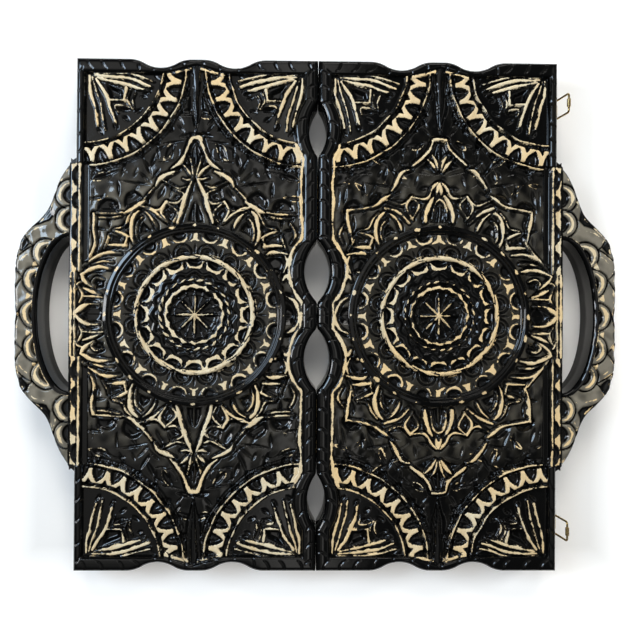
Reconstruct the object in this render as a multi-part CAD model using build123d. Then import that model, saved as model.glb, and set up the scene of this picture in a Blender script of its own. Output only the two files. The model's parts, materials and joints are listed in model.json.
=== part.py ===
from build123d import *
import os
from math import asin, atan, cos, degrees, sin

# A carved folding backgammon case, lying open with its carved faces up and its play wells down.
# X runs across both halves, Y along the hinge line, Z up. The origin is the middle of the
# hinge line, on the surface that the case lies on. Sizes are in millimetres.

# Case
board_length = 600.0
half_width = 283.0
half_depth = 46.0
wall_gap = 0.25
rim_gap = 0.15

# Frame rails and the play well
hinge_rail_width = 30.0
outer_rail_width = 24.0
end_rail_width = 26.0
well_depth = 19.0
board_thickness = 5.0
board_rebate = 6.0

# Scallops along the ends and along the hinge edge: place of the middle, width, depth
end_scallop_place = 43.5
end_scallop_width = 73.0
end_scallop_depth = 10.0
end_scallop_shoulder = 0.5
small_scallop_from_end = 81.0
small_scallop_width = 71.0
small_scallop_depth = 10.5
large_scallop_place = 52.0
large_scallop_width = 80.0
large_scallop_depth = 15.0
hinge_scallop_shoulder = 0.15

# Carved face
hinge_border = 17.0
outer_border = 10.0
end_border = 17.5
carving_depth = 8.0
border_round = 5.5
border_inner_round = 1.5
ridge_width = 3.2
ridge_height = 6.0
fan_side_inset = 8.0
fan_end_inset = 6.0
fan_inner_radius = 93.0
fan_outer_radius = 120.0
fan_band_margin = 7.0
fan_band_height = 4.0
fan_kite_near = 30.0
fan_kite_far = 80.0
fan_kite_half_width = 12.0

# Medallion: each ring's middle radius, width and height over the carved ground
medallion_from_hinge = 143.5
medallion_radius = 107.5
medallion_floor = 4.0
ring_shoulder = 2.0
outer_ring_width = 8.0
outer_ring_height = 9.5
gold_ring_radius = 68.5
gold_ring_width = 6.5
gold_ring_height = 10.5
rope_ring_radius = 41.5
rope_ring_width = 3.5
rope_ring_height = 9.0
inner_ring_radius = 32.5
inner_ring_width = 7.0
inner_ring_height = 8.5
star_disc_radius = 23.0
star_disc_height = 5.5

# Star frame round the medallion, one quarter, from its peak to its side (across, along)
star_frame_quarter = [
    (0, 207), (18, 176), (43, 157), (71, 129), (86, 119), (118, 118), (121, 76), (133, 51)]

# Petals round the medallion: angle from the +X side, reach of the tip, half width
petal_base_radius = 96.0
petal_kinds = [(90.0, 164.0, 21.0), (60.0, 146.0, 19.0), (30.0, 134.0, 17.0), (0.0, 127.0, 15.0)]

# Playing points let into the play boards
points_per_row = 6
point_length = 218.0
point_base_gap = 2.0
inlay_thickness = 1.2

# Half handles
handle_half_length = 183.0
handle_reach = 71.0
handle_drop = 3.0
handle_rib = 7.5
grip_width = 26.0
finger_gap_half_length = 90.0
handle_round = 6.0
gap_round = 5.0
handle_shape = [
    (1.0, 0.0), (0.9, 0.228), (0.77, 0.37), (0.68, 0.46), (0.58, 0.68), (0.487, 0.89), (0.38, 0.98)]
dowel_radius = 4.0
dowel_half_length = 14.0
handle_dowel_places = [112.0, 146.0]
corner_dowel_spread = 12.0
dowel_height = 10.0

# Butt hinges
hinge_length = 70.0
barrel_radius = 2.4
pin_radius = 1.2
pin_clearance = 0.05
barrel_clearance = 0.4
knuckle_count = 5
knuckle_gap = 0.3
leaf_reach = 24.0
leaf_thickness = 1.4
leaf_clearance = 0.1
leaf_screw_spacing = 25.0
leaf_screw_offset = 14.5

# Wood screws
screw_shank_radius = 1.1
screw_head_radius = 2.2
screw_length = 12.0
screw_slot_width = 0.6
screw_slot_depth = 0.5
round_head_height = 1.3

# Bail clasps
clasp_from_end = 50.0
clasp_plate_width = 18.0
clasp_plate_thickness = 1.2
clasp_plate_height = 19.0
clasp_knuckle_width = 11.5
clasp_knuckle_radius = 2.5
clasp_screw_spread = 10.0
clasp_screw_drop = 11.5
bail_wire_radius = 1.2
bail_clearance = 0.08
bail_width = 22.0
bail_length = 32.0
bail_corner = 3.0
bail_tilt = 8.0
pivot_height = 24.0
pivot_standoff = 5.0
sleeve_radius = 2.2
sleeve_length = 9.0
hook_standoff = 4.0
hook_clearance = 0.25
hook_thickness = 1.2
hook_width = 8.0
hook_lip = 0.25
strike_plate_height = 17.0
strike_screw_rise = 9.0

# Levels worked out from the sizes above
half_length = board_length / 2
small_scallop_place = half_length - small_scallop_from_end
clasp_place = half_length - clasp_from_end
pin_height = barrel_radius
rim_level = pin_height + rim_gap
rim_top = rim_level + half_depth
board_low = rim_level + well_depth
panel_base = board_low + board_thickness
ground_level = rim_top - carving_depth
small_scallop_low = small_scallop_place - small_scallop_width / 2
large_scallop_high = large_scallop_place + large_scallop_width / 2
hinge_place = (small_scallop_low + large_scallop_high) / 2
hook_height = 2 * pin_height - pivot_height + bail_length
latch_turn = 180 + degrees(asin((pivot_standoff - hook_standoff) / bail_length)) - bail_tilt


def block(x_low, x_high, y_low, y_high, z_low, z_high):
    return Pos((x_low + x_high) / 2, (y_low + y_high) / 2, (z_low + z_high) / 2) * Box(
        x_high - x_low, y_high - y_low, z_high - z_low)


def raise_face(face, z_low, z_high):
    return extrude(Pos(0, 0, z_low) * face, z_high - z_low, dir=(0, 0, 1))


def rod_along_y(x, z, radius, y_low, y_high):
    return Pos(x, (y_low + y_high) / 2, z) * Rot(90, 0, 0) * Cylinder(radius, y_high - y_low)


def rod_along_x(y, z, radius, x_low, x_high):
    return Pos((x_low + x_high) / 2, y, z) * Rot(0, 90, 0) * Cylinder(radius, x_high - x_low)


def mirrored(shape):
    return mirror(shape, about=Plane.YZ)


# One scallop, cut inward from a straight edge: a rounded shoulder, the hollow and the other shoulder.
def scallop(start, along, inward, width, depth, shoulder):
    turn = 2 * atan(2 * depth / width)
    radius_sum = width / (2 * sin(turn))
    shoulder_radius = radius_sum * shoulder

    def at(distance, sink):
        return start + along * distance + inward * sink

    def on_shoulder(angle, far):
        distance = shoulder_radius * sin(angle)
        sink = shoulder_radius * (1 - cos(angle))
        return at(width - distance if far else distance, sink)

    near_end = on_shoulder(turn, False)
    far_start = on_shoulder(turn, True)
    return [
        ThreePointArc(start, on_shoulder(turn / 2, False), near_end),
        ThreePointArc(near_end, at(width / 2, depth), far_start),
        ThreePointArc(far_start, on_shoulder(turn / 2, True), at(width, 0)),
    ]


# A straight side of an outline with scallops; the material lies on its left.
def scalloped_side(start, end, scallops):
    along = (end - start).normalized()
    inward = Vector(-along.Y, along.X)
    middle = (start + end) / 2
    edges = []
    here = start
    for place, width, depth, shoulder in sorted(scallops):
        begin = middle + along * (place - width / 2)
        edges.append(Line(here, begin))
        edges += scallop(begin, along, inward, width, depth, shoulder)
        here = begin + along * width
    edges.append(Line(here, end))
    return edges


def end_scallops():
    size = (end_scallop_width, end_scallop_depth, end_scallop_shoulder)
    return [(side * end_scallop_place, *size) for side in (-1, 1)]


def hinge_scallops():
    small = (small_scallop_width, small_scallop_depth, hinge_scallop_shoulder)
    large = (large_scallop_width, large_scallop_depth, hinge_scallop_shoulder)
    places = [(side * small_scallop_place, *small) for side in (-1, 1)]
    return places + [(side * large_scallop_place, *large) for side in (-1, 1)]


# A half's outline, or its carved field where the four borders are given. Right half, seen from above.
def half_outline(hinge_inset, outer_inset, end_inset, ends):
    low = Vector(hinge_inset, end_inset - half_length)
    high = Vector(half_width - outer_inset, half_length - end_inset)
    corner_low = Vector(high.X, low.Y)
    corner_high = Vector(low.X, high.Y)
    edges = scalloped_side(low, corner_low, ends)
    edges += scalloped_side(corner_low, high, [])
    edges += scalloped_side(high, corner_high, ends)
    edges += scalloped_side(corner_high, low, hinge_scallops())
    return make_face(edges)


def case_outline():
    return half_outline(wall_gap, 0.0, 0.0, end_scallops())


def field_outline():
    return half_outline(hinge_border, outer_border, end_border, [])


# A raised line of the carving: straight runs with round joints, as one flat face.
def ridge_line(points, width):
    pieces = []
    for first, last in zip(points, points[1:]):
        run = Vector(last[0] - first[0], last[1] - first[1])
        turn = degrees(atan(run.Y / run.X)) if run.X else 90.0
        middle = Pos((first[0] + last[0]) / 2, (first[1] + last[1]) / 2)
        pieces.append(middle * Rot(0, 0, turn) * Rectangle(run.length, width))
    for point in points:
        pieces.append(Pos(point[0], point[1]) * Circle(width / 2))
    return Sketch() + pieces


def star_frame():
    quarter = ridge_line(star_frame_quarter, ridge_width)
    half = quarter + mirror(quarter, about=Plane.YZ)
    return Pos(medallion_from_hinge, 0) * (half + mirror(half, about=Plane.XZ))


# A pointed petal: two arcs that meet at a base and at a tip, hollow inside.
def petal(tip_radius, half_petal, margin):
    chord = tip_radius - petal_base_radius - 2 * margin
    half = half_petal - margin
    radius = (chord ** 2 / 4 + half ** 2) / (2 * half)
    middle = (tip_radius + petal_base_radius) / 2
    lower = Pos(middle, half - radius) * Circle(radius)
    upper = Pos(middle, radius - half) * Circle(radius)
    return lower & upper


def petals():
    ring = Sketch()
    for angle, tip_radius, half_petal in petal_kinds:
        shape = petal(tip_radius, half_petal, 0.0) - petal(tip_radius, half_petal, ridge_width)
        for turn in sorted({angle, -angle, 180 - angle, 180 + angle}):
            if angle == 90.0 and turn not in (90.0, -90.0):
                continue
            ring += Rot(0, 0, turn) * shape
    return Pos(medallion_from_hinge, 0) * ring


def annulus(radius, width):
    return Circle(radius + width / 2) - Circle(radius - width / 2)


# A corner fan: two arc ridges round a corner of the field and a kite on its diagonal.
def fan_ridges():
    arcs = annulus(fan_inner_radius, ridge_width) + annulus(fan_outer_radius, ridge_width)
    middle = (fan_kite_near + fan_kite_far) / 2
    kite = make_face(Polyline(
        (fan_kite_near, 0), (middle, fan_kite_half_width), (fan_kite_far, 0),
        (middle, -fan_kite_half_width), close=True))
    return arcs + Rot(0, 0, 225) * kite


def fan_band():
    low = fan_inner_radius + fan_band_margin
    high = fan_outer_radius - fan_band_margin
    return annulus((low + high) / 2, high - low)


def in_each_corner(shape):
    corner_x = half_width - fan_side_inset
    corner_y = half_length - fan_end_inset
    outer = Pos(corner_x, corner_y) * shape
    inner = Pos(2 * medallion_from_hinge - corner_x, corner_y) * mirror(shape, about=Plane.YZ)
    upper = outer + inner
    return upper + mirror(upper, about=Plane.XZ)


# A ring's section: two sloping shoulders and a flat top.
def ring_profile(radius, width, height):
    low = height - ring_shoulder
    steps = [(-width / 2, low), (-width / 4, height), (width / 4, height), (width / 2, low)]
    return [(radius + step, level) for step, level in steps]


# The medallion is turned about its own axis: a dished floor with four raised rings and a disc.
def medallion():
    rings = [
        (inner_ring_radius, inner_ring_width, inner_ring_height),
        (rope_ring_radius, rope_ring_width, rope_ring_height),
        (gold_ring_radius, gold_ring_width, gold_ring_height),
        (medallion_radius - outer_ring_width / 2, outer_ring_width, outer_ring_height),
    ]
    profile = [(0, star_disc_height), (star_disc_radius, star_disc_height)]
    profile.append((star_disc_radius, medallion_floor))
    for radius, width, height in rings:
        profile.append((radius - width / 2, medallion_floor))
        profile += ring_profile(radius, width, height)
        profile.append((radius + width / 2, medallion_floor))
    outer = profile.pop()[0]
    profile += [(outer, 0), (0, 0)]
    section = make_face(Plane.XZ * Polyline(*profile, close=True))
    return Pos(medallion_from_hinge, 0, ground_level) * revolve(section, Axis.Z)


def top_face(shape):
    return shape.faces().filter_by(Axis.Z).sort_by(Axis.Z)[-1]


def carved_panel():
    outline = case_outline()
    field = field_outline()
    border = raise_face(outline - field, panel_base, rim_top)
    border = fillet(top_face(border).outer_wire().edges(), border_round)
    border = fillet(top_face(border).inner_wires()[0].edges(), border_inner_round)
    panel = border + raise_face(field, panel_base, ground_level)
    ridge_top = ground_level + ridge_height
    ridges = (in_each_corner(fan_ridges()) + star_frame() + petals()) & field
    panel += raise_face(ridges, ground_level, ridge_top)
    band = in_each_corner(fan_band()) & field
    panel += raise_face(band, ground_level, ground_level + fan_band_height)
    return panel + medallion()


# The space that the play board fills: the well and a rebate in each rail round it.
def board_block():
    return block(
        hinge_rail_width - board_rebate, half_width - outer_rail_width + board_rebate,
        end_rail_width - board_rebate - half_length, half_length - end_rail_width + board_rebate,
        board_low, panel_base)


# Playing points as flat triangles on the two ends of the well; the colours alternate along each end.
def playing_points(colour):
    pitch = (half_width - outer_rail_width - hinge_rail_width) / points_per_row
    half_base = (pitch - point_base_gap) / 2
    base_y = half_length - end_rail_width
    tip_y = base_y - point_length
    solids = []
    for index in range(points_per_row):
        middle = hinge_rail_width + pitch * (index + 0.5)
        side = 1 if index % 2 == colour else -1
        base = [(middle - half_base, side * base_y), (middle + half_base, side * base_y)]
        triangle = make_face(Polyline(*base, (middle, side * tip_y), close=True))
        solids.append(raise_face(triangle, board_low, board_low + inlay_thickness))
    return solids


def corner_dowels():
    places = [side * (half_length - end_rail_width / 2) + step * corner_dowel_spread / 2
              for side in (-1, 1) for step in (-1, 1)]
    joints = (hinge_rail_width, half_width - outer_rail_width)
    z = rim_level + dowel_height
    return [rod_along_x(y, z, dowel_radius, x - dowel_half_length, x + dowel_half_length)
            for x in joints for y in places]


def handle_dowels():
    return [rod_along_x(side * place, rim_level + dowel_height, dowel_radius,
                        half_width - dowel_half_length, half_width + dowel_half_length)
            for side in (-1, 1) for place in handle_dowel_places]


# The half handle: a wavy outline with a D-shaped finger gap, rounded all round.
def handle():
    quarter = [(half_width + reach * handle_reach, along * handle_half_length)
               for along, reach in handle_shape]
    tip = (half_width + handle_reach, 0)
    outer = Spline(*quarter, tip, *[(x, -y) for x, y in reversed(quarter)])
    face = make_face([outer, Line(outer @ 1, outer @ 0)])
    gap_x = half_width + handle_rib
    gap_reach = handle_reach - grip_width - handle_rib
    gap = Pos(gap_x, 0) * Ellipse(gap_reach, finger_gap_half_length)
    gap &= Pos(gap_x + handle_reach / 2, 0) * Rectangle(handle_reach, 2 * handle_half_length)
    top = rim_top - handle_drop
    body = raise_face(face - gap, rim_level, top)
    rounds = [(top, handle_round, gap_round), (rim_level, gap_round / 2, gap_round / 2)]
    for level, outer_round, inner_round in rounds:
        edges = body.edges().filter_by_position(Axis.Z, level - 0.01, level + 0.01)
        rim_edge = edges.sort_by(Axis.X)[-1]
        body = fillet(rim_edge, outer_round)
        edges = body.edges().filter_by_position(Axis.Z, level - 0.01, level + 0.01)
        curved = [edge for edge in edges if edge.geom_type == GeomType.ELLIPSE]
        body = fillet(curved, inner_round)
    return body - handle_dowels()


# Hinge geometry, drawn for the right half; the left half's is mirrored.
def knuckle_spans(place, first):
    pitch = (hinge_length + knuckle_gap) / knuckle_count
    low = place - hinge_length / 2
    return [(low + index * pitch, low + (index + 1) * pitch - knuckle_gap)
            for index in range(first, knuckle_count, 2)]


def leaf_screw_places(place):
    return [place + step * leaf_screw_spacing for step in (-1, 0, 1)]


def hinge_leaf(place, first_knuckle):
    low, high = place - hinge_length / 2, place + hinge_length / 2
    face = pin_height + leaf_clearance
    plate_start = barrel_radius + barrel_clearance
    leaf = block(plate_start, leaf_reach, low, high, face, face + leaf_thickness)
    for start, stop in knuckle_spans(place, first_knuckle):
        leaf += rod_along_y(0, pin_height, barrel_radius, start, stop)
        leaf += block(0, plate_start, start, stop, face, face + leaf_thickness)
    leaf -= rod_along_y(0, pin_height, pin_radius + pin_clearance, low, high)
    for y in leaf_screw_places(place):
        leaf -= hinge_screw(y, False)
    return leaf


def hinge_pin(place):
    return rod_along_y(0, pin_height, pin_radius, place - hinge_length / 2, place + hinge_length / 2)


# A countersunk screw, its head flush with the leaf's outer face, pointing up into the rail.
def hinge_screw(y, slotted):
    face = pin_height + leaf_clearance
    head_depth = screw_head_radius - screw_shank_radius
    shank = Pos(0, 0, screw_length / 2) * Cylinder(screw_shank_radius, screw_length)
    head = Pos(0, 0, head_depth / 2) * Cone(screw_head_radius, screw_shank_radius, head_depth)
    screw = shank + head
    if slotted:
        screw -= Box(3 * screw_head_radius, screw_slot_width, 2 * screw_slot_depth)
    return Pos(leaf_screw_offset, y, face) * screw


# A round-headed screw through a plate on the outer wall, pointing into the rail.
def wall_screw(y, z, slotted):
    shank = Pos(0, 0, -screw_length / 2) * Cylinder(screw_shank_radius, screw_length)
    dome_radius = (screw_head_radius ** 2 + round_head_height ** 2) / (2 * round_head_height)
    dome = Pos(0, 0, round_head_height - dome_radius) * Sphere(dome_radius)
    dome &= Pos(0, 0, round_head_height / 2) * Cylinder(screw_head_radius, round_head_height)
    screw = shank + dome
    if slotted:
        slot = Box(2 * screw_head_radius, screw_slot_width, 2 * screw_slot_depth)
        screw -= Pos(0, 0, round_head_height) * slot
    return Pos(half_width + clasp_plate_thickness, y, z) * Rot(0, 90, 0) * screw


def wall_screws(place, z, slotted=True):
    return [wall_screw(place + side * clasp_screw_spread / 2, z, slotted) for side in (-1, 1)]


def base_screw_height():
    return pivot_height - clasp_screw_drop


def strike_screw_height():
    return hook_height - sleeve_radius + strike_screw_rise


# The clasp's base: a wall plate whose top is bent out and rolled round the bail's wire.
def clasp_base(place):
    low, high = place - clasp_plate_width / 2, place + clasp_plate_width / 2
    top = pivot_height + clasp_knuckle_radius
    pivot_x = half_width + pivot_standoff
    near, far = place - clasp_knuckle_width / 2, place + clasp_knuckle_width / 2
    base = block(half_width, half_width + clasp_plate_thickness, low, high, top - clasp_plate_height, top)
    base += block(half_width, pivot_x, near, far, top - clasp_plate_thickness, top)
    base += rod_along_y(pivot_x, pivot_height, clasp_knuckle_radius, near, far)
    base -= rod_along_y(pivot_x, pivot_height, bail_wire_radius + bail_clearance, low, high)
    return base - wall_screws(place, base_screw_height(), False)


def tilted_bail(shape, place):
    return Pos(half_width + pivot_standoff, place, pivot_height) * Rot(0, bail_tilt, 0) * shape


# The bail: a closed rectangular wire loop that turns in the rolled knuckle.
def bail(place):
    half = bail_width / 2
    path = FilletPolyline((0, -half, 0), (0, half, 0), (0, half, bail_length), (0, -half, bail_length),
                          radius=bail_corner, close=True)
    section = Plane(origin=path @ 0, z_dir=path % 0) * Circle(bail_wire_radius)
    return tilted_bail(sweep(section, path), place)


def pull_sleeve(place):
    sleeve = rod_along_y(0, bail_length, sleeve_radius, -sleeve_length / 2, sleeve_length / 2)
    sleeve -= rod_along_y(0, bail_length, bail_wire_radius + pin_clearance, -sleeve_length, sleeve_length)
    return tilted_bail(sleeve, place)


# The strike: a wall plate with a shallow upturned hook, drawn on the right and mirrored to the left.
def strike(place):
    seat = sleeve_radius + hook_clearance
    outer = seat + hook_thickness
    hook_x = half_width + hook_standoff
    bottom = hook_height - outer
    lip = hook_height - sleeve_radius + hook_lip
    top = bottom + strike_plate_height
    low, high = place - clasp_plate_width / 2, place + clasp_plate_width / 2
    near, far = place - hook_width / 2, place + hook_width / 2
    plate = block(half_width, half_width + clasp_plate_thickness, low, high, bottom, top)
    cup = rod_along_y(hook_x, hook_height, outer, near, far)
    cup -= rod_along_y(hook_x, hook_height, seat, near, far)
    cup &= block(half_width, hook_x + outer, near, far, bottom, lip)
    foot = block(half_width, hook_x, near, far, bottom, bottom + hook_thickness)
    foot -= rod_along_y(hook_x, hook_height, seat, near, far)
    return plate + cup + foot - wall_screws(place, strike_screw_height(), False)


# What is cut from a hinge rail for the two hinges: barrel groove, leaf pocket and screw holes.
def hinge_cuts(place):
    low, high = place - hinge_length / 2, place + hinge_length / 2
    face = pin_height + leaf_clearance
    groove_radius = barrel_radius + barrel_clearance
    groove = rod_along_y(0, pin_height, groove_radius, low - knuckle_gap, high + knuckle_gap)
    pocket = block(0, leaf_reach, low, high, pin_height, face + leaf_thickness)
    return [groove, pocket] + [hinge_screw(y, False) for y in leaf_screw_places(place)]


# The four rails of a half: slices of the case outline, rebated for the play board.
def rails(wall_screw_height):
    body = raise_face(case_outline(), rim_level, panel_base) - board_block()
    inner_x, outer_x = hinge_rail_width, half_width - outer_rail_width
    end_y = half_length - end_rail_width
    zones = {
        "hinge_rail": block(0, inner_x, -half_length, half_length, 0, rim_top),
        "outer_rail": block(outer_x, half_width, -half_length, half_length, 0, rim_top),
        "upper_end_rail": block(inner_x, outer_x, end_y, half_length, 0, rim_top),
        "lower_end_rail": block(inner_x, outer_x, -half_length, -end_y, 0, rim_top),
    }
    cuts = corner_dowels() + handle_dowels()
    for side in (-1, 1):
        cuts += hinge_cuts(side * hinge_place)
        cuts += wall_screws(side * clasp_place, wall_screw_height, False)
    return {name: (body & zone) - cuts for name, zone in zones.items()}


def half_nodes(wall_screw_height):
    nodes = rails(wall_screw_height)
    points = {"light_points": playing_points(0), "dark_points": playing_points(1)}
    nodes["carved_panel"] = carved_panel()
    nodes["play_board"] = board_block() - points["light_points"] - points["dark_points"]
    nodes["handle"] = handle()
    nodes["handle_dowels"] = handle_dowels()
    nodes["corner_dowels"] = corner_dowels()
    nodes["hinge_screws"] = [hinge_screw(y, True) for side in (-1, 1)
                             for y in leaf_screw_places(side * hinge_place)]
    return nodes | points


def all_nodes():
    nodes = {}
    for name, shape in half_nodes(base_screw_height()).items():
        nodes["right_" + name] = shape
    for name, shape in half_nodes(strike_screw_height()).items():
        nodes["left_" + name] = mirrored_node(shape)
    for level, side in (("upper", 1), ("lower", -1)):
        nodes[level + "_hinge_left_leaf"] = mirrored(hinge_leaf(side * hinge_place, 0))
        nodes[level + "_hinge_right_leaf"] = hinge_leaf(side * hinge_place, 1)
        nodes[level + "_hinge_pin"] = hinge_pin(side * hinge_place)
        nodes[level + "_clasp_base"] = clasp_base(side * clasp_place)
        nodes[level + "_clasp_screws"] = wall_screws(side * clasp_place, base_screw_height())
        nodes[level + "_bail"] = bail(side * clasp_place)
        nodes[level + "_pull_sleeve"] = pull_sleeve(side * clasp_place)
        nodes[level + "_strike"] = mirrored(strike(side * clasp_place))
        screws = wall_screws(side * clasp_place, strike_screw_height())
        nodes[level + "_strike_screws"] = mirrored_node(screws)
    return nodes


def mirrored_node(shape):
    return [mirrored(solid) for solid in shape] if isinstance(shape, list) else mirrored(shape)


def write_node(name, shape):
    solids = shape if isinstance(shape, list) else [shape]
    solids = [solid for item in solids for solid in item.solids()]
    whole = solids[0] if len(solids) == 1 else Compound(solids)
    whole.label = name
    export_step(whole, "parts/" + name + ".step")


os.makedirs("parts", exist_ok=True)
print("latch turn", round(latch_turn, 3), "hook height", round(hook_height, 3), "hinge place", hinge_place)
for node_name, node_shape in all_nodes().items():
    write_node(node_name, node_shape)
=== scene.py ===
import json
import math

import bmesh
import bpy
import numpy as np
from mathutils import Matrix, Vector


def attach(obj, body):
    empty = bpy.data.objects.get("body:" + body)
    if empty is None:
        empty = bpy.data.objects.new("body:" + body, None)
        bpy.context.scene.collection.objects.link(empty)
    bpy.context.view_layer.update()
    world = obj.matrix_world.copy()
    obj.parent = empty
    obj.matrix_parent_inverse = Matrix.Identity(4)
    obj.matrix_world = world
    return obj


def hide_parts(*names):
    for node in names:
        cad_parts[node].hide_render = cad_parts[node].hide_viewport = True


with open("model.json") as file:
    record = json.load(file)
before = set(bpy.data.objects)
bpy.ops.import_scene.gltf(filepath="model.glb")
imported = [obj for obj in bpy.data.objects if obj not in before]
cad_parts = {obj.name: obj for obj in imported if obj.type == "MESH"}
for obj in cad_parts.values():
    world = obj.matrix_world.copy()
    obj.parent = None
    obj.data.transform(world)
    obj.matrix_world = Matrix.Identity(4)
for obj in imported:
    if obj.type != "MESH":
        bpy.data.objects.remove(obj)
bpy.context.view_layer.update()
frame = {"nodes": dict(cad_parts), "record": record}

# A carved folding backgammon case, open, with its carved faces up. The carving is worked out in
# millimetres on a right half (x from the hinge line outwards, y along it) and mirrored for the left.
mm = 0.001

case = {
    "halfWidth": 283.0,
    "halfLength": 300.0,
    "wallGap": 0.25,
    "rimTop": 48.55,
    "panelBase": 26.55,
    "flatLevel": 44.2,
    "medallionX": 143.5,
    "besideHandle": 176.5,
    "endScallops": {"places": (98.0, 185.0), "width": 73.0, "depth": 10.0, "shoulder": 0.5},
    "smallScallops": {"places": (-219.0, 219.0), "width": 71.0, "depth": 10.5, "shoulder": 0.15},
    "largeScallops": {"places": (-52.0, 52.0), "width": 80.0, "depth": 15.0, "shoulder": 0.15},
}


def smooth(value, low, high):
    t = np.clip((value - low) / (high - low), 0, 1)
    return t * t * (3 - 2 * t)


def wobble(u, v, size, seed):
    # a smooth random field between about -1 and 1, its humps about size wide
    rng = np.random.default_rng(seed)
    total = np.zeros_like(u)
    for _ in range(6):
        angle, phase = rng.uniform(0, 2 * math.pi, 2)
        pitch = size * rng.uniform(0.7, 1.6)
        total += np.sin((u * math.cos(angle) + v * math.sin(angle)) * 2 * math.pi / pitch + phase)
    return total / 3


def rounding(away, radius):
    # how far a rounded edge has sunk at a distance from it
    sink = radius - np.clip(away, 0, radius)
    return radius - np.sqrt(np.clip(radius ** 2 - sink ** 2, 0, None))


def smoothCurve(points, steps=8):
    # Catmull-Rom curve through points, which may carry more than two numbers each
    p = np.array(points, float)
    p = np.vstack([2 * p[0] - p[1], p, 2 * p[-1] - p[-2]])
    out = []
    for i in range(1, len(p) - 2):
        for t in np.linspace(0, 1, steps, endpoint=False):
            out.append(0.5 * (2 * p[i] + (p[i + 1] - p[i - 1]) * t
                              + (2 * p[i - 1] - 5 * p[i] + 4 * p[i + 1] - p[i + 2]) * t * t
                              + (3 * p[i] - p[i - 1] - 3 * p[i + 1] + p[i + 2]) * t ** 3))
    out.append(p[-2])
    return np.array(out)


def gridQuads(index):
    # the four-sided faces of a grid of point numbers
    return np.stack([index[:-1, :-1], index[:-1, 1:], index[1:, 1:], index[1:, :-1]], -1).reshape(-1, 4)


def makeObject(name, vertices, faces, material=None, attributes=None):
    # vertices in mm; each attribute holds one number for every vertex
    mesh = bpy.data.meshes.new(name)
    mesh.from_pydata((np.asarray(vertices, float) * mm).tolist(), [], faces)
    for key, values in (attributes or {}).items():
        layer = mesh.attributes.new(key, "FLOAT", "POINT")
        layer.data.foreach_set("value", np.asarray(values, np.float32))
    mesh.polygons.foreach_set("use_smooth", [True] * len(mesh.polygons))
    mesh.validate()
    obj = bpy.data.objects.new(name, mesh)
    bpy.context.scene.collection.objects.link(obj)
    if material:
        mesh.materials.append(material)
    return obj


# Each shape of the carving is a function that gives how far inside it a point is, with its middle
# and its reach.
def disc(centre, radius):
    def inside(u, v):
        return radius - np.hypot(u - centre[0], v - centre[1])
    return inside, centre, radius


def arc(centre, radius, width, start=None, stop=None):
    # a curved band round centre, between two angles in degrees where they are given
    def inside(u, v):
        band = width / 2 - np.abs(np.hypot(u - centre[0], v - centre[1]) - radius)
        if start is None:
            return band
        middle, half = math.radians((start + stop) / 2), math.radians((stop - start) / 2)
        angle = np.arctan2(v - centre[1], u - centre[0]) - middle
        angle = np.abs((angle + math.pi) % (2 * math.pi) - math.pi)
        return np.minimum(band, (half - angle) * radius)
    return inside, centre, radius + width


def leaf(start, stop, width):
    # a pointed leaf between two points: where two discs overlap
    start, stop = np.array(start, float), np.array(stop, float)
    chord = stop - start
    length = np.hypot(*chord)
    side = np.array([-chord[1], chord[0]]) / length
    radius = (length ** 2 / 4 + width ** 2 / 4) / width
    middle = (start + stop) / 2
    first, second = middle + side * (radius - width / 2), middle - side * (radius - width / 2)

    def inside(u, v):
        return radius - np.maximum(np.hypot(u - first[0], v - first[1]),
                                   np.hypot(u - second[0], v - second[1]))
    return inside, tuple(middle), length / 2 + width


def polygon(points):
    p = np.array(points, float)
    q = np.roll(p, -1, axis=0)
    middle = p.mean(axis=0)

    def inside(u, v):
        away = np.full(u.shape, 1e9)
        within = np.zeros(u.shape, bool)
        for (x1, y1), (x2, y2) in zip(p, q):
            dx, dy = x2 - x1, y2 - y1
            t = np.clip(((u - x1) * dx + (v - y1) * dy) / (dx * dx + dy * dy), 0, 1)
            away = np.minimum(away, np.hypot(u - x1 - t * dx, v - y1 - t * dy))
            if y1 != y2:
                crosses = ((y1 > v) != (y2 > v)) & (u < (x2 - x1) * (v - y1) / (y2 - y1) + x1)
                within ^= crosses
        return np.where(within, away, -away)
    return inside, tuple(middle), np.hypot(*(p - middle).T).max()


def stroke(points, widths):
    # a line with a width at each point, curved where it has more than two
    rows = [(*p, w) for p, w in zip(points, widths)]
    path = smoothCurve(rows) if len(rows) > 2 else np.array(rows, float)
    middle = path[:, :2].mean(axis=0)

    def inside(u, v):
        best = np.full(u.shape, -1e9)
        for (x1, y1, w1), (x2, y2, w2) in zip(path, path[1:]):
            dx, dy = x2 - x1, y2 - y1
            t = np.clip(((u - x1) * dx + (v - y1) * dy) / max(dx * dx + dy * dy, 1e-9), 0, 1)
            away = np.hypot(u - x1 - t * dx, v - y1 - t * dy)
            best = np.maximum(best, (w1 + (w2 - w1) * t) / 2 - away)
        return best
    return inside, tuple(middle), np.hypot(*(path[:, :2] - middle).T).max() + max(widths)


def both(first, second):
    def inside(u, v):
        return np.minimum(first[0](u, v), second[0](u, v))
    return inside, first[1], first[2]


def without(first, second):
    def inside(u, v):
        return np.minimum(first[0](u, v), -second[0](u, v))
    return inside, first[1], first[2]


wallBare = -9.0                        # marks upright walls and undersides in the attribute bare

knife = {
    "margin": 3.0,
    "ditchDepth": 2.6,
    "shoulderDrop": 1.2,
    "farInside": -4.0,
}


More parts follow.
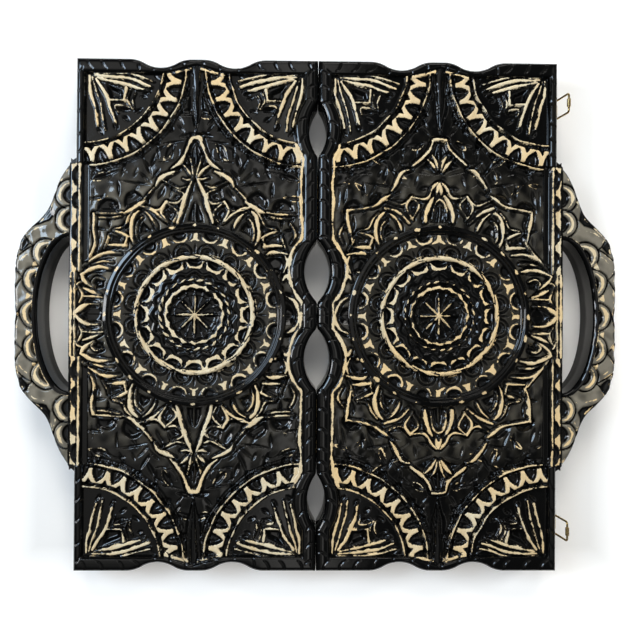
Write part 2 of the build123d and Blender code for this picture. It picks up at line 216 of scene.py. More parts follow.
class CarvedFace:
    # the points of a face that is being carved: two places in mm, a height, and how far inside
    # bare wood each of them is
    def __init__(self, across, along, height):
        self.across, self.along = across, along
        self.height = np.array(height, float)
        self.bare = np.full(across.shape, knife["farInside"])
        self.open = np.ones(across.shape, bool)

    def near(self, shape, extra=0.0):
        inside, (u, v), reach = shape
        reach += knife["margin"] + extra
        close = (np.abs(self.across - u) < reach) & (np.abs(self.along - v) < reach)
        found = np.flatnonzero(close & self.open)
        return found, inside(self.across[found], self.along[found])

    def cut(self, shape, depth, slope=1.3, rim=0.0):
        # a sloping cut, black inside; rim is bare wood just outside its edge
        at, inside = self.near(shape)
        self.height[at] -= np.clip(slope * inside, 0, depth)
        bare = np.where(inside > 0, np.minimum(self.bare[at], -inside), self.bare[at])
        if rim:
            bare = np.maximum(bare, np.minimum(inside + rim, -inside))
        self.bare[at] = bare

    def ridge(self, shape, top, shoulder=1.0, gold=True, ditch=0.0):
        # a raised line whose middle reaches the height top, with a black ditch on either side
        at, inside = self.near(shape, ditch)
        if ditch:
            free = (inside < 0.3) & (self.bare[at] < 0.2)
            beside = np.clip(1 + inside / ditch, 0, 1) * free
            self.height[at] -= knife["ditchDepth"] * smooth(beside, 0.0, 0.6)
        rise = np.clip(inside / shoulder, -1, 1)
        wanted = top - knife["shoulderDrop"] * (1 - rise)
        self.height[at] = np.where(inside > 0, np.maximum(self.height[at], wanted), self.height[at])
        if gold:
            self.bare[at] = np.maximum(self.bare[at], inside)

    def level(self, shape, height, edge=0.6):
        at, inside = self.near(shape)
        t = smooth(inside, -edge, edge)
        self.height[at] = self.height[at] * (1 - t) + height * t
        self.bare[at] = np.where(inside > 0, np.minimum(self.bare[at], -inside), self.bare[at])

    def scrape(self, shape):
        at, inside = self.near(shape)
        self.bare[at] = np.maximum(self.bare[at], inside)

    # the next three work on all points, by a mask or by how far inside a shape each of them is
    def put(self, mask, height):
        self.height = np.where(mask, height, self.height)

    def layBare(self, inside):
        self.bare = np.maximum(self.bare, inside)

    def raiseTo(self, inside, height):
        self.put(inside > 0, np.maximum(self.height, height))
        self.layBare(inside)


def scallopSink(away, spec):
    # how far the edge sinks at a distance from the scallop's middle
    width, depth = spec["width"], spec["depth"]
    turn = 2 * math.atan(2 * depth / width)
    total = width / (2 * math.sin(turn))
    shoulder = total * spec["shoulder"]
    hollow = total - shoulder
    rest = np.clip(width / 2 - np.abs(away), 0, None)
    onShoulder = shoulder - np.sqrt(np.clip(shoulder ** 2 - rest ** 2, 0, None))
    onHollow = depth - hollow + np.sqrt(np.clip(hollow ** 2 - away ** 2, 0, None))
    return np.where(rest < shoulder * math.sin(turn), onShoulder, onHollow)


def hingeEdge(y):
    edge = np.full(np.shape(y), case["wallGap"])
    for spec in (case["smallScallops"], case["largeScallops"]):
        for place in spec["places"]:
            edge = edge + scallopSink(y - place, spec)
    return edge


def endEdge(x):
    edge = np.full(np.shape(x), case["halfLength"])
    spec = case["endScallops"]
    for place in spec["places"]:
        edge = edge - scallopSink(x - place, spec)
    return edge


def setInputs(tree, node, inputs):
    # each input, by name or number, takes a value or another node's output
    for key, value in inputs.items():
        if isinstance(value, bpy.types.NodeSocket):
            tree.links.new(value, node.inputs[key])
        else:
            node.inputs[key].default_value = value


def addNode(tree, kind, inputs=None, **settings):
    node = tree.nodes.new(kind)
    for key, value in settings.items():
        setattr(node, key, value)
    setInputs(tree, node, inputs or {})
    return node


def newTree(name, kind, inputs, outputs):
    # a node tree of its own with named sockets; an input may have a value to start with
    tree = bpy.data.node_groups.new(name, kind)
    for label, socketType, value in inputs:
        socket = tree.interface.new_socket(name=label, in_out="INPUT", socket_type=socketType)
        if value is not None:
            socket.default_value = value
    for label, socketType in outputs:
        tree.interface.new_socket(name=label, in_out="OUTPUT", socket_type=socketType)
    return tree, tree.nodes.new("NodeGroupInput").outputs, tree.nodes.new("NodeGroupOutput")


def newMaterial(name):
    material = bpy.data.materials.new(name)
    material.use_nodes = True
    return material, material.node_tree, material.node_tree.nodes["Principled BSDF"]


def coordinates(tree, output="Object"):
    return addNode(tree, "ShaderNodeTexCoord").outputs[output]


def attributeNode(tree, name):
    return addNode(tree, "ShaderNodeAttribute", attribute_name=name).outputs["Fac"]


def noiseNode(tree, vector, scale, detail=3.0, rough=0.5):
    return addNode(tree, "ShaderNodeTexNoise", {
        "Vector": vector, "Scale": scale, "Detail": detail, "Roughness": rough}).outputs["Fac"]


def mapRange(tree, value, fromLow, fromHigh, toLow=0.0, toHigh=1.0):
    return addNode(tree, "ShaderNodeMapRange", {
        "Value": value, "From Min": fromLow, "From Max": fromHigh,
        "To Min": toLow, "To Max": toHigh}).outputs["Result"]


def mathNode(tree, operation, *values):
    return addNode(tree, "ShaderNodeMath", dict(enumerate(values)), operation=operation).outputs[0]


def mixColour(tree, factor, first, second):
    first, second = [c if isinstance(c, bpy.types.NodeSocket) else (*c, 1.0) for c in (first, second)]
    return addNode(tree, "ShaderNodeMix", {0: factor, 6: first, 7: second}, data_type="RGBA").outputs[2]


def bumpNode(tree, height, strength, distance):
    return addNode(tree, "ShaderNodeBump", {
        "Strength": strength, "Distance": distance, "Height": height}).outputs["Normal"]


# Grain: long fibres along one axis with slow bands; gives a colour share and a height.
def makeGrainGroup():
    tree, entry, leave = newTree(
        "woodGrain", "ShaderNodeTree",
        [("Vector", "NodeSocketVector", None), ("Fibre Scale", "NodeSocketFloat", 900.0),
         ("Band Scale", "NodeSocketFloat", 40.0), ("Stretch", "NodeSocketFloat", 0.06)],
        [("Shade", "NodeSocketFloat"), ("Height", "NodeSocketFloat")])
    stretch = addNode(tree, "ShaderNodeCombineXYZ", {"X": 1.0, "Y": entry["Stretch"], "Z": 1.0})
    along = addNode(tree, "ShaderNodeVectorMath", {0: entry["Vector"], 1: stretch.outputs[0]},
                    operation="MULTIPLY").outputs[0]
    fibre = noiseNode(tree, along, entry["Fibre Scale"], 2.0)
    band = noiseNode(tree, along, entry["Band Scale"], 4.0, 0.6)
    shade = mathNode(tree, "ADD", mapRange(tree, fibre, 0.3, 0.7, 0.0, 0.45),
                     mapRange(tree, band, 0.35, 0.65, 0.0, 0.55))
    setInputs(tree, leave, {"Shade": shade, "Height": fibre})
    return tree


# Handling: faint smears and fine dust that change the gloss from place to place.
def makeHandlingGroup():
    tree, entry, leave = newTree(
        "handling", "ShaderNodeTree",
        [("Vector", "NodeSocketVector", None), ("Clean", "NodeSocketFloat", 0.06),
         ("Smeared", "NodeSocketFloat", 0.16), ("Scale", "NodeSocketFloat", 25.0)],
        [("Roughness", "NodeSocketFloat"), ("Height", "NodeSocketFloat")])
    share = mapRange(tree, noiseNode(tree, entry["Vector"], entry["Scale"], 5.0, 0.6), 0.4, 0.7)
    spread = mathNode(tree, "SUBTRACT", entry["Smeared"], entry["Clean"])
    setInputs(tree, leave, {
        "Roughness": mathNode(tree, "MULTIPLY_ADD", share, spread, entry["Clean"]),
        "Height": noiseNode(tree, entry["Vector"], 160.0, 2.0)})
    return tree


grainGroup = makeGrainGroup()
handlingGroup = makeHandlingGroup()


def grainNode(tree, place, fibre, band, stretch):
    return addNode(tree, "ShaderNodeGroup", {
        "Vector": place, "Fibre Scale": fibre, "Band Scale": band, "Stretch": stretch},
        node_tree=grainGroup).outputs


def handlingNode(tree, place, look):
    return addNode(tree, "ShaderNodeGroup", {
        "Vector": place, "Clean": look["clean"], "Smeared": look["smeared"],
        "Scale": look["smearScale"]},
        node_tree=handlingGroup).outputs


lacquerLook = {
    "black": (0.0020, 0.0021, 0.0022),
    "deepBlack": (0.0012, 0.0012, 0.0014),
    "toneScale": 30.0,
    # painted sheen: grey-brown laid on the black flats in place of a reflection of the window, patchy by
    # the noise below
    "paintedSheenTone": (0.200, 0.181, 0.142),
    "paintedSheenUneven": (0.65, 1.15),
    "ash": (0.76, 0.69, 0.51),
    "honey": (0.85, 0.63, 0.33),
    "tintScale": 8.0,
    "straw": (0.60, 0.45, 0.25),
    "grain": (1500.0, 60.0, 0.12),
    "ragged": (-0.55, 0.5),            # mm by which the edge of the bare wood wanders, finely
    "raggedScale": 360.0,
    "uneven": (-1.35, 0.20),           # and in patches
    "unevenScale": 95.0,
    "bareEdge": (0.0, 0.34),
    "bareRough": 0.32,
    "bareCoat": 0.15,
    "wallMark": (-5.0, -6.5),          # values of the attribute that mark the upright walls
    "wallRough": 0.40,
    "clean": 0.06,
    "smeared": 0.15,
    "smearScale": 25.0,
    "coatWeight": 0.35,
    "coatRoughness": 0.03,
    "ripple": (0.35, 0.00010),
}


def makeLacquer(name, carved):
    # black gloss over wood; where the carving says so the lacquer is rubbed off to bare wood; the flats
    # also get a painted sheen, a grey-brown laid into the black that stands in for reflected window
    # light
    look = lacquerLook
    material, tree, shader = newMaterial(name)
    place = coordinates(tree)
    handling = handlingNode(tree, place, look)
    rough, coat = handling["Roughness"], look["coatWeight"]
    if carved:
        bare = attributeNode(tree, "bare")
        ragged = noiseNode(tree, place, look["raggedScale"], 3.0, 0.6)
        uneven = noiseNode(tree, place, look["unevenScale"], 1.0)
        edge = mathNode(tree, "ADD", bare, mapRange(tree, ragged, 0.3, 0.7, *look["ragged"]))
        edge = mathNode(tree, "ADD", edge, mapRange(tree, uneven, 0.3, 0.7, *look["uneven"]))
        mask = mapRange(tree, edge, *look["bareEdge"])
        tint = mapRange(tree, noiseNode(tree, place, look["tintScale"], 2.0), 0.46, 0.60)
        fresh = mixColour(tree, tint, look["ash"], look["honey"])
        grain = grainNode(tree, place, *look["grain"])
        wood = mixColour(tree, grain["Shade"], fresh, look["straw"])
        # painted sheen: the black is lightened towards grey-brown where the sheen attribute says, a
        # painted reflection of the window light
        sheenShare = mathNode(tree, "MULTIPLY", attributeNode(tree, "paintedSheen"),
                        mapRange(tree, uneven, 0.3, 0.7, *look["paintedSheenUneven"]))
        dark = mixColour(tree, sheenShare, look["black"], look["paintedSheenTone"])
        colour = mixColour(tree, mask, dark, wood)
        # the upright walls were only brushed over: duller and without the gloss coat
        wall = mapRange(tree, bare, *look["wallMark"])
        rough = mathNode(tree, "ADD", rough, mathNode(tree, "MULTIPLY", mask, look["bareRough"]))
        rough = mathNode(tree, "ADD", rough, mathNode(tree, "MULTIPLY", wall, look["wallRough"]))
        coat = mapRange(tree, mask, 0.0, 1.0, look["coatWeight"], look["bareCoat"])
        coat = mathNode(tree, "MULTIPLY", coat, mathNode(tree, "SUBTRACT", 1.0, wall))
    else:
        tone = noiseNode(tree, place, look["toneScale"], 3.0)
        colour = mixColour(tree, tone, look["deepBlack"], look["black"])
    setInputs(tree, shader, {
        "Base Color": colour, "Roughness": rough, "Coat Weight": coat,
        "Coat Roughness": look["coatRoughness"],
        "Normal": bumpNode(tree, handling["Height"], *look["ripple"])})
    return material


woodLook = {
    "boardWood": ((0.46, 0.27, 0.13), (0.24, 0.12, 0.055)),
    "lightWood": ((0.80, 0.62, 0.38), (0.60, 0.42, 0.22)),
    "darkWood": ((0.13, 0.055, 0.028), (0.05, 0.02, 0.012)),
    "grain": (900.0, 45.0, 0.05),
    "relief": (0.3, 0.0002),
    "smearScale": 25.0,
    "coatWeight": 0.25,
    "coatRoughness": 0.2,
}


def makeWood(name, rough):
    look = woodLook
    material, tree, shader = newMaterial(name)
    place = coordinates(tree)
    grain = grainNode(tree, place, *look["grain"])
    handling = handlingNode(tree, place, {**look, "clean": rough, "smeared": rough + 0.15})
    setInputs(tree, shader, {
        "Base Color": mixColour(tree, grain["Shade"], *look[name]),
        "Roughness": handling["Roughness"],
        "Normal": bumpNode(tree, grain["Height"], *look["relief"]),
        "Coat Weight": look["coatWeight"], "Coat Roughness": look["coatRoughness"]})
    return material


brassLook = {
    "bright": (0.80, 0.60, 0.28),
    "tarnished": (0.42, 0.27, 0.11),
    "tarnishScale": 180.0,
    "clean": 0.16,
    "smeared": 0.36,
    "smearScale": 90.0,
    "relief": (0.25, 0.0001),
}


def makeBrass(name):
    look = brassLook
    material, tree, shader = newMaterial(name)
    place = coordinates(tree)
    tarnish = mapRange(tree, noiseNode(tree, place, look["tarnishScale"], 5.0, 0.65), 0.42, 0.72)
    handling = handlingNode(tree, place, look)
    setInputs(tree, shader, {
        "Base Color": mixColour(tree, tarnish, look["bright"], look["tarnished"]),
        "Roughness": handling["Roughness"], "Metallic": 1.0,
        "Normal": bumpNode(tree, handling["Height"], *look["relief"])})
    return material


carvedLacquer = makeLacquer("carvedLacquer", True)
plainLacquer = makeLacquer("plainLacquer", False)
boardWood = makeWood("boardWood", 0.32)
lightWood = makeWood("lightWood", 0.30)
darkWood = makeWood("darkWood", 0.30)
brass = makeBrass("brass")
print("materials ready")

faceCarving = {
    "spacing": 0.92,
    "borderHinge": 16.75,
    "borderOuter": 10.0,
    "borderEnd": 17.5,
    "peakRise": 9.0,
    "peakHalf": 33.0,
    "outerRound": 5.5,
    "innerRound": 4.0,
    "crown": 0.5,
    "crownWidth": 8.4,
    "lineTop": 46.6,
    "lineScale": 1.3,                  # the widths below were drawn thinner than they are cut
    "lineExtra": 0.2,
    "recess": 40.2,
    "handShake": 0.7,
    "ditch": 3.0,
    "undulation": 0.26,
    "facets": 0.10,
}

# Bare ridges as (points, widths), in mm outwards and along from the medallion's middle.
# The frame's peak and the spear below it were cut differently on the two halves.
spearRidges = {
    "left": [
        (((0, 207), (5, 206), (8.5, 197), (12, 188), (19, 177), (28, 169.5)),
         (4.0, 4.6, 3.2, 2.8, 3.4, 1.6)),
        (((22, 168), (33, 163), (42, 157.5), (46, 150)), (1.6, 4.0, 3.6, 1.2)),
        (((48, 149), (54, 141), (60, 134)), (1.0, 1.6, 1.8)),
        (((58, 133.5), (66, 128.5), (74, 122.5), (82, 119)), (2.0, 4.2, 4.2, 1.4)),
        (((84, 119.8), (97, 118.6), (117, 117.8)), (1.5, 1.7, 1.5)),
        (((86, 115.8), (98, 113.7), (113, 113.0)), (1.2, 1.6, 1.2)),
        # sprig at the foot of the peak and the flat below it
        (((1.5, 161), (4, 172), (8, 187)), (1.2, 2.4, 0.8)),
        (((3, 161), (9, 169), (17, 176)), (1.2, 2.8, 0.8)),
        (((3, 160), (9, 158.5), (15, 160)), (1.4, 2.0, 0.8)),
        (((11, 151), (21, 148.5), (38, 157)), (1.2, 2.2, 1.0)),
        # outline of the top petal
        (((2.5, 160), (7.5, 148), (13, 132), (18, 117), (20.5, 107)), (1.6, 3.4, 4.2, 4.0, 3.0)),
        # crossed lines between the top and the slanting petal
        (((27, 148), (13, 141), (20, 130.5), (34, 131.5)), (1.0, 2.0, 1.8, 1.8)),
        (((34, 131.5), (21.5, 120), (26, 108)), (1.6, 2.2, 1.6)),
        (((34, 131.5), (39.5, 121), (32, 107)), (3.4, 3.0, 1.4)),
        (((35, 131), (44, 122.5), (58, 127)), (1.4, 1.9, 1.2)),
    ],
    "right": [
        (((0, 208.5), (7, 207.5)), (3.4, 3.4)),
        (((8, 207), (11, 197), (19, 188), (31, 178)), (1.8, 3.0, 3.2, 3.0)),
        (((33, 173), (43, 169.5), (50, 159), (57, 148)), (1.2, 3.4, 3.6, 1.2)),
        (((57, 143), (66, 137), (76, 130), (92, 125.5), (109, 123)), (1.6, 3.6, 2.6, 2.2, 2.4)),
        (((109, 124), (107.5, 112), (105.5, 98), (103, 86)), (2.2, 3.2, 2.6, 1.2)),
        # fan of four strokes at the foot of the peak
        (((1.5, 171), (4.5, 182), (8.5, 190)), (1.4, 2.8, 0.9)),
        (((3.5, 170), (9, 178), (15.5, 185)), (1.6, 3.6, 1.6)),
        # small pointed arch with a second one inside
        (((2, 157), (8, 150), (13, 141), (19, 138), (33, 140.5)), (2.0, 2.8, 2.4, 2.2, 1.2)),
        (((0, 156), (2.2, 148), (3, 143)), (3.0, 3.4, 1.0)),
        (((7, 141), (12, 132), (15.5, 120), (16, 111)), (1.6, 4.0, 4.4, 3.4)),
        (((0, 137.5), (5, 134), (8, 126), (8.5, 113)), (2.4, 2.2, 1.8, 1.2)),
        # lozenge beside it
        (((33, 140.5), (24, 130), (31, 116)), (1.4, 2.2, 1.2)),
        (((33, 140.5), (39.5, 128), (31, 113)), (2.6, 2.8, 1.2)),
        (((34, 139), (45, 130), (62, 137)), (1.2, 1.8, 1.2)),
    ],
}

# The rest of the pattern is shared by both halves.
frameRidges = [
    # nested lines of the slanting petal
    (((64, 127), (53, 123.5), (44, 118), (35, 109)), (2.0, 3.0, 2.6, 1.6)),
    (((60, 121), (52, 114.5), (46.5, 106), (45, 101)), (0.9, 2.4, 2.6, 1.2)),
    (((66, 121), (71.5, 115), (74.5, 104), (74.5, 92), (71, 82)), (2.4, 3.8, 4.0, 3.2, 1.6)),
    (((62, 113), (67.5, 106), (69, 96), (67.5, 88)), (1.0, 1.7, 1.6, 0.9)),
    (((72, 121), (78, 113), (83, 103), (95, 100.2)), (1.2, 1.9, 1.6, 1.4)),
    # square between the slanting petal and the star
    (((97, 98.5), (86, 95), (78, 91)), (0.9, 2.8, 2.4)),
    (((79, 92), (80, 86), (82, 80)), (2.2, 2.0, 2.6)),
    (((81, 80), (90, 80.5), (102, 80.5)), (3.2, 3.4, 1.6)),
    (((101, 94), (102, 87), (107, 76)), (1.0, 1.6, 0.8)),
]

outerRidges = [
    (((118, 117), (118.5, 104), (117, 92), (116.5, 84), (119.5, 74), (126, 63), (131, 56)),
     (2.8, 3.2, 2.2, 2.2, 2.2, 2.0, 1.4)),
    (((86, 71.5), (100, 72), (112, 69), (122, 62.5), (128, 57)), (1.0, 3.0, 2.8, 2.2, 1.0)),
    (((95, 61.5), (108, 61), (121, 57.5)), (1.0, 1.8, 1.0)),
    (((97, 53), (110, 54.5), (122, 52), (133, 46.5)), (1.6, 3.6, 3.6, 2.8)),
    (((133, 46.5), (129, 40), (121, 33.5), (117, 31)), (2.6, 3.6, 2.4, 1.0)),
    (((107, 41), (115, 43), (120, 38), (117, 33)), (0.9, 1.6, 1.5, 0.8)),
    (((107, 19.5), (117, 20.5), (131, 20.5)), (1.0, 2.2, 1.6)),
    (((110, 22), (121, 27), (130, 31)), (1.4, 3.6, 1.2)),
    (((138, 37), (133, 28), (131, 21), (135, 13)), (1.2, 1.8, 2.0, 1.0)),
    (((130, 39), (136, 36.5), (139, 29)), (1.2, 2.4, 1.0)),
    (((112, 11.5), (124, 12), (133, 7.5), (141, 0)), (1.0, 2.4, 4.2, 3.2)),
    (((140.2, 49), (140.4, 24), (140.2, 0)), (1.6, 1.8, 1.8)),
]

# takes the place of the first one on the right half
outerCurve = (((105, 84), (112, 73), (121, 63), (131, 50)), (1.0, 2.6, 2.6, 1.4))

hingeRidges = [
    (((84, 71), (90, 73.5), (100, 73), (109, 71)), (1.0, 3.2, 2.8, 1.2)),
    (((106, 69), (108.5, 61), (104, 50)), (1.6, 3.2, 1.2)),
    (((89, 50.5), (95, 51)), (2.4, 2.4)),
    (((103, 40.5), (107, 46), (111.5, 40)), (1.6, 3.8, 2.4)),
    (((97, 33), (100, 30), (99, 22)), (2.6, 2.0, 0.9)),
    (((107, 21.5), (115, 17), (120.5, 9), (122.5, 0)), (1.2, 3.2, 3.4, 3.0)),
    (((112, 108), (118, 96), (113, 84)), (1.2, 1.6, 1.2)),
]

# Cuts as (shape, depth, slope); black inside.
spearCuts = {
    "left": [
        (polygon([(0, 201), (3.5, 196), (6.5, 184), (3, 168), (0, 163)]), 4.4, 1.2),
        (leaf((8, 190), (6, 168), 3.4), 3.0, 1.5),
        (leaf((5, 178), (15, 170), 3.0), 2.6, 1.5),
        (leaf((9, 147.5), (41, 153), 3.6), 3.2, 1.5),
        (leaf((28, 150), (32, 133), 4.5), 2.4, 0.9),
        (polygon([(17, 139), (24, 143), (30, 134), (22, 132.5)]), 2.6, 0.7),
        (leaf((36, 152), (46, 132), 9), 2.2, 0.6),
        (polygon([(24, 119), (33, 127.5), (37, 120), (31, 108), (27.5, 110)]), 2.8, 0.7),
        (leaf((37, 128), (58, 124.5), 3.6), 3.0, 1.6),
        (leaf((12, 147), (17, 122), 3.4), 3.2, 1.6),
        (leaf((4, 151), (10, 121), 2.6), 2.2, 1.5),
        (leaf((1.5, 150), (6, 131), 2.2), 1.8, 1.4),
        (polygon([(0, 134), (4.8, 129), (8.5, 118), (9.5, 108), (0, 108)]), 4.4, 1.5),
        (leaf((14, 129), (15, 107), 3.2), 2.8, 1.5),
    ],
    "right": [
        (polygon([(0, 205), (5, 203), (9, 192), (4, 178), (0, 172)]), 4.4, 1.2),
        (polygon([(14, 184), (26, 175), (14, 171), (5, 168), (8, 174)]), 3.4, 0.8),
        (leaf((8, 152), (26, 149), 9), 2.6, 0.6),
        (leaf((26, 168), (30, 150), 5.0), 2.2, 0.8),
        (leaf((34, 150), (48, 158), 2.4), 1.8, 1.2),
        (leaf((4, 164), (36, 172), 2.6), 2.4, 1.2),
        (polygon([(0, 132), (4.5, 128), (6.5, 118), (6.5, 109), (0, 109)]), 4.4, 1.6),
        (leaf((11, 140), (12.5, 111), 2.6), 3.0, 1.5),
        (leaf((20, 136), (22, 112), 4.0), 3.0, 1.2),
        (polygon([(26, 130), (33, 137), (37, 128), (31.5, 117)]), 2.8, 0.7),
        (leaf((37, 136), (60, 136), 3.0), 3.0, 1.5),
        (leaf((44, 147), (60, 141), 6.0), 2.6, 0.8),
    ],
}

frameCuts = [
    (polygon([(50, 98), (54.5, 105), (61, 109.5), (66, 103), (67, 90), (58, 95)]), 4.4, 1.1),
    (leaf((56, 118.5), (41, 101), 2.8), 3.0, 1.7),
    (leaf((65, 118), (71, 92), 2.6), 3.2, 1.8),
    (leaf((74, 118), (78, 84), 3.6), 3.2, 1.6),
    (leaf((101, 98.5), (100.8, 120), 6.0), 3.4, 1.3),
    (leaf((102, 99), (119, 101.2), 5.0), 3.4, 1.5),
    (polygon([(99, 100), (84, 105.5), (77, 104), (81, 100.5)]), 3.2, 1.4),
    (leaf((101, 98), (103.5, 78), 3.2), 2.8, 1.6),
    (polygon([(83, 83), (100, 83), (98.5, 95), (84, 91.5)]), 3.4, 0.9),
    (leaf((80, 78), (118, 73), 4.4), 3.6, 1.6),
    (leaf((50, 150.5), (92, 157.5), 3.6), 3.6, 1.7),
    (leaf((60, 134.5), (84, 121), 2.6), 2.6, 1.6),
    (both(disc((72, 132), 14),
          polygon([(58, 138), (66, 130.5), (84, 121), (90, 130), (84, 150), (58, 150)])), 3.8, 0.8),
    (both(disc((102, 123), 14), polygon([(84, 121), (117, 119.5), (118, 140), (84, 140)])), 3.8, 0.8),
    (leaf((90, 158), (90, 136), 5.0), 3.4, 1.3),
    (leaf((118, 150), (121, 122), 2.4), 2.4, 1.4),
    (leaf((84, 176), (112, 174), 6.5), 3.4, 1.1),
    (leaf((106, 172.5), (127, 171), 4.4), 3.0, 1.2),
    (leaf((13, 204.5), (40, 200), 3.2), 3.2, 1.6),
    (leaf((26, 200), (29, 181), 2.6), 2.4, 1.4),
    (leaf((34, 198), (48, 190), 3.2), 2.6, 1.3),
    (leaf((30, 180), (47, 179), 2.6), 2.6, 1.5),
    (leaf((45, 199), (44, 181), 3.0), 2.4, 1.3),
    (leaf((62, 184), (50, 160), 6.0), 2.4, 0.8),
    (leaf((12, 212), (22, 224), 3.0), 2.8, 1.5),
    (leaf((14, 222), (24, 236), 4.2), 2.6, 1.1),
    (leaf((6, 232), (8, 258), 5.0), 2.8, 1.0),
    (leaf((40, 172), (52, 157), 4.4), 3.0, 1.3),
    (leaf((68, 172), (74, 160), 4.2), 2.4, 1.0),
    (leaf((94, 168), (112, 161), 3.0), 2.4, 1.2),
    (arc((88, 152), 16, 2.0, 25, 120), 2.2, 1.5),
    (arc((62, 168), 14, 1.8, 190, 300), 2.2, 1.5),
    (arc((28, 190), 9, 1.8, 150, 290), 2.0, 1.5),
]

outerCuts = [
    (polygon([(105, 31), (105, 43), (112, 47.5), (120.5, 43.5), (123, 38), (116, 29.5)]), 4.2, 0.9),
    (leaf((95, 57.6), (124, 56), 3.0), 3.2, 1.7),
    (leaf((90, 66.8), (123, 61), 4.4), 3.6, 1.6),
    (leaf((100, 49.6), (126, 48), 3.8), 3.6, 1.7),
    (leaf((109, 25), (136, 36), 4.4), 3.6, 1.5),
    (leaf((120, 24), (129, 26), 3.4), 2.6, 1.2),
    (leaf((106, 15.4), (134, 16), 4.4), 3.8, 1.6),
    (disc((118, 0), 14.5), 3.8, 0.6),
    (leaf((126, 75), (134, 52), 4.4), 3.0, 1.3),
    (leaf((138, 30), (136, 10), 3.0), 2.6, 1.4),
    (leaf((122, 116), (124.5, 80), 3.0), 2.6, 1.3),
    (leaf((110, 100), (112, 78), 7.0), 1.8, 0.5),
]

hingeCuts = [
    (disc((94, 58.5), 12.8), 4.0, 0.7),
    (leaf((88, 77), (108, 76), 3.0), 3.2, 1.6),
    (leaf((98, 48), (110, 44), 5.0), 3.2, 1.2),
    (disc((108.5, 0), 12.5), 4.0, 0.6),
    (leaf((103, 27), (118, 21), 4.6), 3.4, 1.4),
    (leaf((84, 50), (98, 36), 6.0), 3.0, 1.0),
]

# The fan's straps and curls, measured from the board's corner between the borders.
fanRidges = [
    (((-3, 1), (-30, 2), (-52, -2), (-73, -7.5)), (2.0, 2.6, 3.0, 2.6)),
    (((-5, -1.5), (-26, -2.5), (-48, -6.5), (-70, -14)), (2.8, 4.4, 4.8, 3.6)),
    (((-8, -4), (-28, -8.5), (-48, -14), (-66, -19.5)), (3.0, 4.6, 4.4, 3.0)),
    (((1.5, -3), (1, -20), (-4.5, -40), (-9, -60)), (3.4, 4.0, 3.6, 3.0)),
    (((-1.5, -4), (-6, -20), (-13, -42), (-16.5, -64)), (2.2, 2.8, 3.0, 2.6)),
    (((-6, -6), (-17, -24), (-24, -42), (-28.5, -60)), (3.6, 4.8, 4.2, 3.2)),
    (((-41, -16), (-39, -30)), (4.4, 3.4)),
    (((-40, -30.5), (-20, -30.5)), (2.6, 2.8)),
    (((-52, -21), (-48, -30), (-50, -40)), (1.4, 2.4, 1.0)),
    (((-46, -18), (-42.5, -30), (-47, -39)), (1.4, 2.2, 1.0)),
    (((-48, -39.5), (-38, -36.5), (-29, -37), (-31, -45)), (1.2, 2.2, 2.4, 1.0)),
]

fanCuts = [
    (polygon([(-36, -18), (-16, -9), (-21, -28), (-37, -28)]), 4.4, 1.2),
    (leaf((-70, -18), (-58, -22), 6), 2.6, 0.8),
    (leaf((-64, -27), (-55, -24), 5), 2.6, 0.8),
    (leaf((-60, -38), (-50, -44), 6), 2.6, 0.8),
    (leaf((-44, -54), (-34, -47), 6.5), 2.6, 0.8),
    (leaf((-31, -64), (-24, -56), 6), 2.6, 0.8),
    (leaf((-14, -70), (-6, -62), 5), 2.6, 0.8),
    (leaf((-44, -41), (-30, -40), 4), 3.0, 1.3),
]

fan = {
    "centre": (130.5, 293.5),
    "inner": 92.5,
    "outer": 119.5,
    "innerWidth": 2.6,
    "outerWidth": 2.5,
    "hairline": (5.6, 1.2),            # how far outside the outer line, and its width
    "teeth": 9,
    "firstAngle": 185.0,
    "turn": 95.0,
    "leafWidth": 16.4,
    "corner": (122.5, 281),            # where the strokes of the quarter disc meet
}

tick = {
    "lean": 2.0,
    "inset": 1.6,
    "widths": (0.8, 2.3, 2.1, 0.6),
    "depth": 1.5,
    "slope": 1.6,
}

gouges = {
    "number": 40,
    "frameLine": (218, 1.02),          # none below this slanting line, nor below the least place along
    "leastAlong": 124,
    "from": (4, 125),
    "to": (122, 262),
    "reach": (7, 14),
    "width": (3.5, 8.0),
    "depth": (2.0, 3.2),
    "slope": (0.5, 1.0),
    "rimShare": 0.35,
    "rim": 1.5,
}

sideStrip = {
    "inner": 136.8,
    "outer": 145.2,
    "notchAt": 136.2,
    "notchWidth": 14.5,
    "notches": ((162, 12.5), (133, 10.5), (96, 13), (66, 12.5)),
    "end": 176,
    "recess": (123.5, 125.5, 131.4, 132.6),        # where its two slopes start and stop
    "recessAlong": (56, 64),
    "upright": 134.3,
    "uprightHalf": 1.9,
    "landHeight": 45.3,
}


def fieldEndEdge(x):
    # the inner edge of the end border: straight, raised in a low peak at the middle
    look = faceCarving
    away = np.abs(x - case["medallionX"])
    peak = look["peakRise"] * np.clip(1 - away / look["peakHalf"], 0, 1)
    return case["halfLength"] - look["borderEnd"] + peak


def borderHeight(outside, inwards):
    # rounded border: outside is the distance from the wall, inwards that to the carved field
    look = faceCarving
    top = np.full(outside.shape, case["rimTop"])
    for away, radius in ((outside, look["outerRound"]), (inwards, look["innerRound"])):
        top -= rounding(away, radius)
        top -= look["crown"] * (1 - smooth(away, 0, look["crownWidth"]))
    return top


